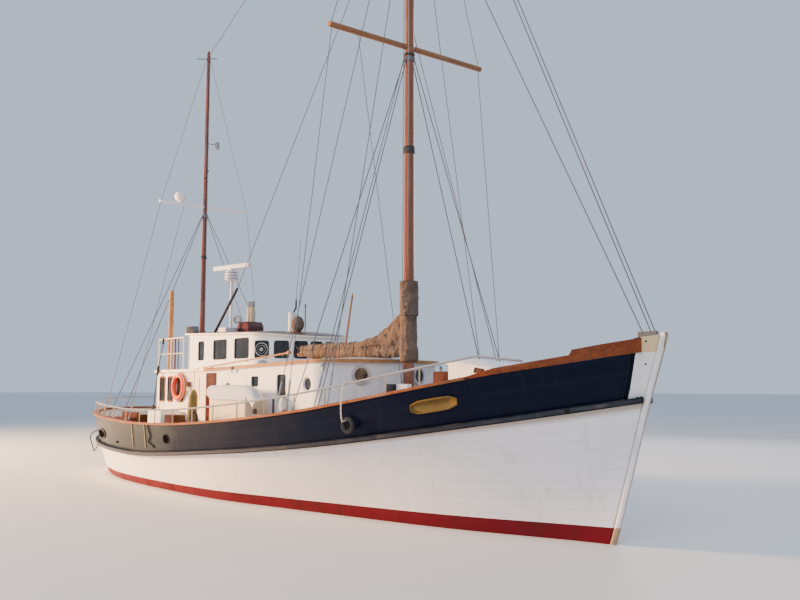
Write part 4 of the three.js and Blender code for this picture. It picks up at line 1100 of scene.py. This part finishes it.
# The seam stands partly for a rubbing strake and partly as painted shade where tube meets body.
tube_shade_line = [(-0.80, -2.17, 2.205), (-0.72, -2.225, 2.205), (0.10, -2.24, 2.205),
             (0.95, -2.225, 2.205)]
fit(drawn("tender_seam", [[(*spot, 0.012) for spot in tube_shade_line]], 8), rail_grey)
valve = [[(1.33, -2.215, 1.98, 0.058), (1.335, -2.25, 1.98, 0.058), (1.336, -2.256, 1.98, 0.046)]]
fit(drawn("tender_valve", valve, 20), black_rubber)


# The standing rigging: grey galvanised wires, set up from iron bands on the masts to the rail and
# the stem, with one between the mastheads.
wire_grey = painted("rigging_wire", (0.13, 0.13, 0.14), (0.10, 0.08, 0.06), wear=0.3, runs=0.0,
                    scale=10.0, gloss=0.45, metallic=0.5)
for node in ("main_shrouds", "mizzen_shrouds", "stays"):
    dress(node, f"{node}_wires", wire_grey, "galvanised")


# The rest of the rigging that the picture shows: upper shrouds and cap shrouds, halyards down to
# the mast's foot, lifts, their turnbuckles, and the iron strut and varnished rod that hang in it.
# Columns: start, end, radius.
wires = [((3.75, -0.11, 9.62), (4.19, -2.62, 2.14), 0.009),
         ((3.75, -0.09, 14.5), (2.95, -2.71, 2.00), 0.009),
         ((3.75, -0.08, 16.4), (3.75, -2.02, 9.82), 0.008),
         ((3.75, -2.02, 9.67), (3.31, -2.67, 2.03), 0.008),
         ((3.75, -0.09, 13.2), (4.51, -2.54, 2.18), 0.009),
         ((3.75, -1.36, 9.68), (3.86, -0.20, 2.05), 0.007),
         ((3.82, -0.20, 14.5), (3.82, -0.24, 2.20), 0.007),
         ((3.75, 0.09, 14.6), (3.24, 2.70, 2.02), 0.009),
         ((3.75, 0.11, 10.1), (3.99, 2.64, 2.12), 0.009),
         ((3.75, 0.08, 16.4), (3.75, 2.02, 9.82), 0.008),
         ((3.75, 2.02, 9.67), (3.85, 2.63, 2.10), 0.008),
         ((3.66, -0.09, 14.0), (-1.80, -1.00, 4.96), 0.009),
         ((-5.7, -0.67, 7.71), (-4.05, -2.81, 1.64), 0.007),
         ((-5.7, -1.38, 7.71), (-6.45, -2.52, 1.70), 0.007),
         ((-5.7, -0.06, 12.2), (-5.7, -1.36, 7.80), 0.007),
         ((-5.7, 0.06, 12.2), (-5.7, 1.36, 7.80), 0.007),
         ((-5.7, 1.38, 7.71), (-6.45, 2.52, 1.70), 0.007),
         ((0.80, -0.79, 3.30), (-0.62, -0.28, 3.80), 0.006)]
stretched = [[(*start, radius), (*end, radius)] for start, end, radius in wires]
fit(drawn("running_wires", stretched, 6), wire_grey)
bottle_screws = []
for start, end, radius in wires[:2] + wires[3:5] + wires[7:9] + wires[10:11] + wires[12:14]:
    start, end = Vector(start), Vector(end)
    down = (end - start).normalized()
    shape = ((-0.62, 0.010), (-0.58, 0.020), (-0.30, 0.020), (-0.26, 0.012), (-0.03, 0.012))
    bottle_screws.append([(*(end + down * reach), size) for reach, size in shape])
fit(drawn("turnbuckles", bottle_screws, 10), galvanised)
strut = [[(-1.80, -1.00, 4.96, 0.020), (-1.83, -1.00, 4.93, 0.034), (-3.60, -1.00, 3.33, 0.034),
          (-3.68, -1.00, 3.26, 0.020)]]
fit(drawn("lifting_strut", strut, 12), iron)
rod = [[(4.643, -2.09, 4.24, 0.010), (4.648, -2.105, 4.17, 0.020), (4.72, -2.29, 3.32, 0.020),
        (4.725, -2.31, 3.26, 0.010)]]
fit(drawn("shroud_rod", rod, 10), spar_varnish)


# The tyre fender on the starboard bow: an old black tyre, hung outboard from the handrail by a
# pale rope.
tyre = painted("old_tyre", (0.016, 0.016, 0.017), (0.09, 0.08, 0.07), wear=0.5, runs=0.2,
               scale=10.0, gloss=0.75, bump=0.4)
low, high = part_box("tyre_fender")
hook = Vector([(a + b) / 2 for a, b in zip(low, high)])
dress("tyre_fender", "tyre_casing", tyre, "tyre_rubber")
lanyard = [(4.94, -2.44, 2.60), (4.945, -2.50, 2.52), (4.95, -2.535, 2.38), (4.955, -2.555, 2.20),
           (4.965, -2.56, 2.02), (4.985, -2.55, 1.88),
           (hook.x - 0.02, hook.y + 0.01, hook.z + 0.10)]
fit(drawn("fender_lanyard", [[(*spot, 0.012) for spot in lanyard]], 8), lashing)


# The holes in the bulwark: oval scuppers and a mooring hole on each side, a black disc of painted
# shade inside an iron rim, with two pale guard rods and a black rope end hanging over the starboard
# side.
def on_bulwark(x, z, hand, proud=0.0):
    """Point on the outside of the bulwark at a length and a height."""
    well_outside, usual_side = 5, 2.8
    struck, spot, _, _ = bulwark.ray_cast(Vector((x, hand * well_outside, z)),
                                          Vector((0, -hand, 0)))
    return spot + Vector((0, hand * proud, 0)) if struck else Vector((x, hand * usual_side, z))


# The holes are not cut: a black unlit disc on the bulwark is painted shade for the inside of each.
hole_black = painted("hole_black", (0.003, 0.003, 0.004), (0.012, 0.010, 0.009), wear=0.3, runs=0.0,
                     scale=9.0, gloss=0.8, specular_ior_level=0.0)
# Columns: name, length, height, half length, half height, rim.
holes = [("scupper", -1.78, 1.28, 0.155, 0.11, 0.009),
         ("mooring_hole", -6.75, 1.20, 0.45, 0.12, 0.028),
         ("slot", -5.12, 1.05, 0.10, 0.03, 0.006)]
full_turn = [math.radians(step * 15) for step in range(25)]
for name, x, z, half_long, half_tall, rim in holes:
    for side, hand in both_sides:
        edge = [on_bulwark(x + half_long * math.cos(turn), z + half_tall * math.sin(turn), hand,
                           0.006) for turn in full_turn]
        fit(drawn(f"{name}_rim_{side}", [[(*spot, rim) for spot in edge]], 8), iron)
        bpy.ops.mesh.primitive_circle_add(vertices=24, radius=1, fill_type="NGON")
        dark = bpy.context.object
        dark.name = f"{name}_{side}"
        proud = 0.004 + 0.06 * half_long
        for vertex in dark.data.vertices:
            across_hole, up_hole, _ = vertex.co
            vertex.co = on_bulwark(x + half_long * across_hole, z + half_tall * up_hole, hand,
                                   proud)
        edit_all()
        bpy.ops.mesh.inset(thickness=half_tall * 0.3, depth=0)
        bpy.ops.mesh.inset(thickness=half_tall * 0.2, depth=0)
        bpy.ops.object.mode_set(mode="OBJECT")
        fit(dark, hole_black)
rods = [[(*on_bulwark(x, low + share * (high - low), -1, 0.014), 0.012)
         for share in (0, 0.25, 0.5, 0.75, 1)]
        for x, low, high in ((-3.85, 0.98, 1.56), (-3.00, 1.02, 1.57))]
fit(drawn("guard_rods", rods, 8), stanchion_buff)
hanging_rope = [(-2.76, 1.58), (-2.75, 1.50), (-2.68, 1.38), (-2.65, 1.31), (-2.78, 1.19),
                (-2.70, 1.12), (-2.52, 1.08), (-2.48, 1.04)]
quarter_rope = [(-7.10, -2.40, 1.25), (-7.47, -2.30, 1.264), (-7.92, -2.30, 1.161),
                (-8.069, -2.30, 1.04), (-7.889, -2.30, 0.847), (-7.711, -2.30, 0.657),
                (-7.488, -2.30, 0.782), (-7.353, -2.30, 0.986), (-7.20, -2.37, 1.13)]
fit(drawn("quarter_rope", [[(*spot, 0.017) for spot in quarter_rope]], 8), black_rubber)
fit(drawn("hanging_rope", [[(*on_bulwark(x, z, -1, 0.022), 0.016) for x, z in hanging_rope]], 8),
    black_rubber)


# Lamps: a hooded lamp on each side of the house by the door and the saloon, a round deck lamp on
# the radar's post and a domed one on the roof's edge, of grey metal with pale glasses, and a brown
# side lamp above the life ring.
def crate(name, low, high, bevel):
    """Box between two corners with its edges rounded."""
    bpy.ops.mesh.primitive_cube_add(size=1, location=[(a + b) / 2 for a, b in zip(low, high)])
    piece = bpy.context.object
    piece.name = name
    piece.scale = [b - a for a, b in zip(low, high)]
    set_down()
    edit_all()
    bpy.ops.mesh.bevel(offset=bevel, segments=3, affect="EDGES")
    bpy.ops.object.mode_set(mode="OBJECT")
    soften(35)
    return piece


lamp_glass = painted("lamp_glass", (0.72, 0.66, 0.52), (0.3, 0.25, 0.2), wear=0.3, runs=0.0,
                     scale=12.0, gloss=0.12)
for side, hand in both_sides:
    for place, x in (("aft", -0.70), ("fore", 2.94)):
        y = hand * (1.70 if x < 2 else 1.60)
        arm = [(x, y - hand * 0.10, 2.97, 0.011), (x, y - hand * 0.02, 2.975, 0.011),
               (x, y, 2.95, 0.011)]
        hood = [(x, y, 2.965, 0.014), (x, y, 2.95, 0.030), (x, y, 2.915, 0.042),
                (x, y, 2.905, 0.040)]
        fit(drawn(f"lamp_hood_{place}_{side}", [arm, hood], 14), galvanised)
        glass = [(x, y, 2.905, 0.030), (x, y, 2.86, 0.032), (x, y, 2.83, 0.020),
                 (x, y, 2.825, 0.008)]
        fit(drawn(f"lamp_glass_{place}_{side}", [glass], 14), lamp_glass)
post_lamp = [[(-3.17, -0.43, 4.24, 0.016), (-2.72, -0.52, 4.24, 0.016)],
             [(-2.70, -0.48, 4.24, 0.05), (-2.685, -0.49, 4.24, 0.098),
              (-2.60, -0.555, 4.24, 0.105), (-2.59, -0.56, 4.24, 0.092)]]
fit(drawn("deck_lamp", post_lamp, 24), galvanised)
fit(drawn("deck_lamp_glass", [[(-2.592, -0.559, 4.24, 0.088), (-2.585, -0.564, 4.24, 0.07)]], 24),
    lamp_glass)
dome = [(0.35, -1.50, 3.02, 0.125), (0.35, -1.50, 3.05, 0.122), (0.35, -1.50, 3.085, 0.09),
        (0.35, -1.50, 3.105, 0.04)]
fit(drawn("roof_dome", [dome], 24), rail_grey)
fit(crate("side_lamp_box", (-3.40, -1.565, 2.50), (-3.30, -1.485, 2.63), 0.012), hood_brown)
fit(crate("side_lamp_glass", (-3.385, -1.555, 2.38), (-3.315, -1.487, 2.50), 0.016), lamp_glass)


# The aerials on the wheelhouse roof: a whip with a thick black foot on the white bottle, and a
# short black rod beside the covered lamp.
whip = [(-0.50, -0.16, 4.30, 0.02), (-0.46, -0.16, 4.37, 0.02), (-0.40, -0.16, 4.39, 0.024),
        (-0.39, -0.16, 4.61, 0.020), (-0.385, -0.16, 4.63, 0.006), (-0.30, -0.16, 5.4, 0.005),
        (-0.22, -0.16, 6.1, 0.004)]
short_rod = [(-0.13, -0.06, 3.84, 0.012), (-0.13, -0.06, 4.40, 0.012), (-0.13, -0.06, 4.44, 0.018),
             (-0.13, -0.06, 4.50, 0.012)]
fit(drawn("whip_aerials", [whip, short_rod], 8), black_rubber)


# The lifting gear at the strut's foot: a brown sheave block on the house roof and a black one
# beside it, and the pole along the roof's edge with its knob and brackets.
sheave = [(-3.70, -1.06, 3.20, 0.11), (-3.695, -1.063, 3.20, 0.138), (-3.65, -1.095, 3.20, 0.138),
          (-3.635, -1.105, 3.20, 0.06), (-3.60, -1.13, 3.20, 0.06), (-3.585, -1.14, 3.20, 0.138),
          (-3.54, -1.17, 3.20, 0.138), (-3.535, -1.173, 3.20, 0.11)]
fit(drawn("sheave_block", [sheave], 28), spar_varnish)
fit(crate("sheave_bracket", (-3.56, -1.10, 2.99), (-3.36, -0.94, 3.30), 0.03), iron)
pole = [(-2.08, -1.75, 2.96, 0.018), (1.84, -1.75, 3.215, 0.018), (1.85, -1.75, 3.216, 0.042),
        (1.92, -1.75, 3.221, 0.042), (1.93, -1.75, 3.222, 0.012)]
stops = [[(x, -1.66, z - 0.03, 0.010), (x, -1.75, z, 0.010), (x, -1.75, z + 0.03, 0.010)]
         for x, z in ((-1.7, 2.983), (0.0, 3.093), (1.5, 3.19))]
fit(drawn("roof_edge_pole", [pole, *stops], 12), honey_trim)


# Loose gear on the starboard side: an olive fender hung from the roof, a black line with its
# toggles from the rail to the deck, a hose coil and a canvas bag on the handrail, a black upright
# on the side deck, a brown crate before the locker and a small bench behind it.
# Its stain colour is the painted shade in the folds.
olive = finish_of("olive_canvas", cloth, {
    "Paint": (0.22, 0.17, 0.055, 1), "Stain": (0.11, 0.085, 0.03, 1), "Folds": 5.0, "Weave": 160.0,
    "Gloss": 0.8}, bump=0.4)
fender = [(-2.52, -1.76, 2.43, 0.02), (-2.525, -1.76, 2.40, 0.06), (-2.54, -1.76, 2.30, 0.10),
          (-2.58, -1.76, 2.0, 0.118), (-2.61, -1.76, 1.75, 0.11), (-2.625, -1.76, 1.62, 0.07),
          (-2.63, -1.76, 1.58, 0.02)]
fit(drawn("olive_fender", [fender], 24), olive)
fit(drawn("fender_hanger", [[(-2.51, -1.60, 2.97, 0.008), (-2.51, -1.76, 2.93, 0.008),
                             (-2.52, -1.76, 2.42, 0.008)]], 8), black_rubber)
toggles = [(-4.80, -1.58, 3.80, 0.010), (-4.80, -1.58, 3.78, 0.030), (-4.82, -1.58, 3.66, 0.030),
           (-4.83, -1.58, 3.63, 0.011), (-5.05, -1.58, 3.08, 0.011), (-5.07, -1.58, 3.04, 0.034),
           (-5.13, -1.58, 2.84, 0.034), (-5.14, -1.58, 2.80, 0.012), (-5.31, -1.58, 2.02, 0.014),
           (-5.32, -1.58, 1.99, 0.036), (-5.33, -1.58, 1.90, 0.036), (-5.33, -1.58, 1.87, 0.012),
           (-5.34, -1.60, 1.06, 0.012)]
fit(drawn("black_line", [toggles], 10), black_rubber)
coils = []
for ring, (radius, lift) in enumerate(((0.135, 0.0), (0.118, 0.012), (0.128, -0.014))):
    y, z, flatter = -2.60 + 0.018 * ring, 1.80 + lift, radius * 1.1
    coils.append([(-0.80 + radius * math.cos(turn), y, z + flatter * math.sin(turn), 0.017)
                  for turn in full_turn])
fit(drawn("hose_coil", coils, 8), black_rubber)
sack = [(3.08, -2.60, 2.34, 0.012), (3.08, -2.60, 2.30, 0.05), (3.09, -2.60, 2.24, 0.085),
        (3.09, -2.60, 2.12, 0.10), (3.10, -2.60, 2.04, 0.085), (3.10, -2.60, 2.01, 0.03)]
rail_sack = slackened(drawn("rail_sack", [sack], 20), voxel=0.012, folds=0.08, strength=0.02)
fit(rail_sack, lashing)
post = [(2.03, -2.20, 1.25, 0.028), (2.03, -2.20, 2.22, 0.028), (2.03, -2.20, 2.25, 0.015)]
fit(drawn("dark_upright", [post], 12), iron)
fit(crate("brown_crate", (-3.64, -2.02, 0.93), (-3.09, -1.70, 1.79), 0.014), door_wood)
bench = [((-6.90, -2.06, 1.60), (-5.75, -1.80, 1.66)), ((-6.88, -1.84, 1.66), (-5.77, -1.80, 1.80)),
         ((-6.84, -2.02, 1.04), (-6.76, -1.84, 1.60)), ((-5.89, -2.02, 1.00), (-5.81, -1.84, 1.60))]
boards = [crate(f"bench_part_{number}", low, high, 0.008)
          for number, (low, high) in enumerate(bench)]
fit(joined("quarter_bench", boards), door_wood)


# At the mainmast's foot: a white box and a black motor housing, each on grey posts whose flanges
# are bolted to the deck.
fit(crate("foot_box", (4.03, -0.56, 2.30), (4.38, -0.44, 2.56), 0.014), house_white)
fit(crate("foot_motor", (3.80, -0.66, 2.24), (3.97, -0.44, 2.56), 0.03), iron)
stands = []
for x, y, top in ((4.12, -0.50, 2.31), (4.30, -0.50, 2.31), (3.885, -0.55, 2.26)):
    foot = deck.ray_cast(Vector((x, y, top)), Vector((0, 0, -1)))[1].z
    stands.append([(x, y, foot, 0.055), (x, y, foot + 0.015, 0.055), (x, y, foot + 0.02, 0.026),
                   (x, y, top, 0.026)])
fit(drawn("foot_stands", stands, 12), rail_grey)


# Fittings on the mizzen: the short bar at the truck, the reflector and the iron bracket on the
# mast, and the varnished and the iron post beside the upper rail.
mizzen_fittings = [[(-5.7, -0.38, 12.14, 0.012), (-5.7, 0.27, 12.30, 0.012)],
                   [(-5.7, 0.05, 9.66, 0.010), (-5.7, 0.28, 9.66, 0.010)],
                   [(-5.64, -0.08, 8.60, 0.02), (-5.60, -0.02, 8.60, 0.02),
                    (-5.60, -0.02, 8.82, 0.02), (-5.64, 0.06, 8.82, 0.02)],
                   [(-4.14, -1.45, 2.96, 0.014), (-4.14, -1.45, 3.78, 0.014)]]
fit(drawn("mizzen_fittings", mizzen_fittings, 10), iron)
reflector = [(-5.7, 0.34, 9.52, 0.02), (-5.7, 0.34, 9.55, 0.075), (-5.7, 0.34, 9.64, 0.085),
             (-5.7, 0.34, 9.73, 0.075), (-5.7, 0.34, 9.76, 0.02)]
fit(drawn("mizzen_reflector", [reflector], 16), galvanised)
fit(drawn("varnished_post", [[(-4.33, -1.45, 2.96, 0.024), (-4.33, -1.45, 3.77, 0.022)]], 12),
    dark_trim)
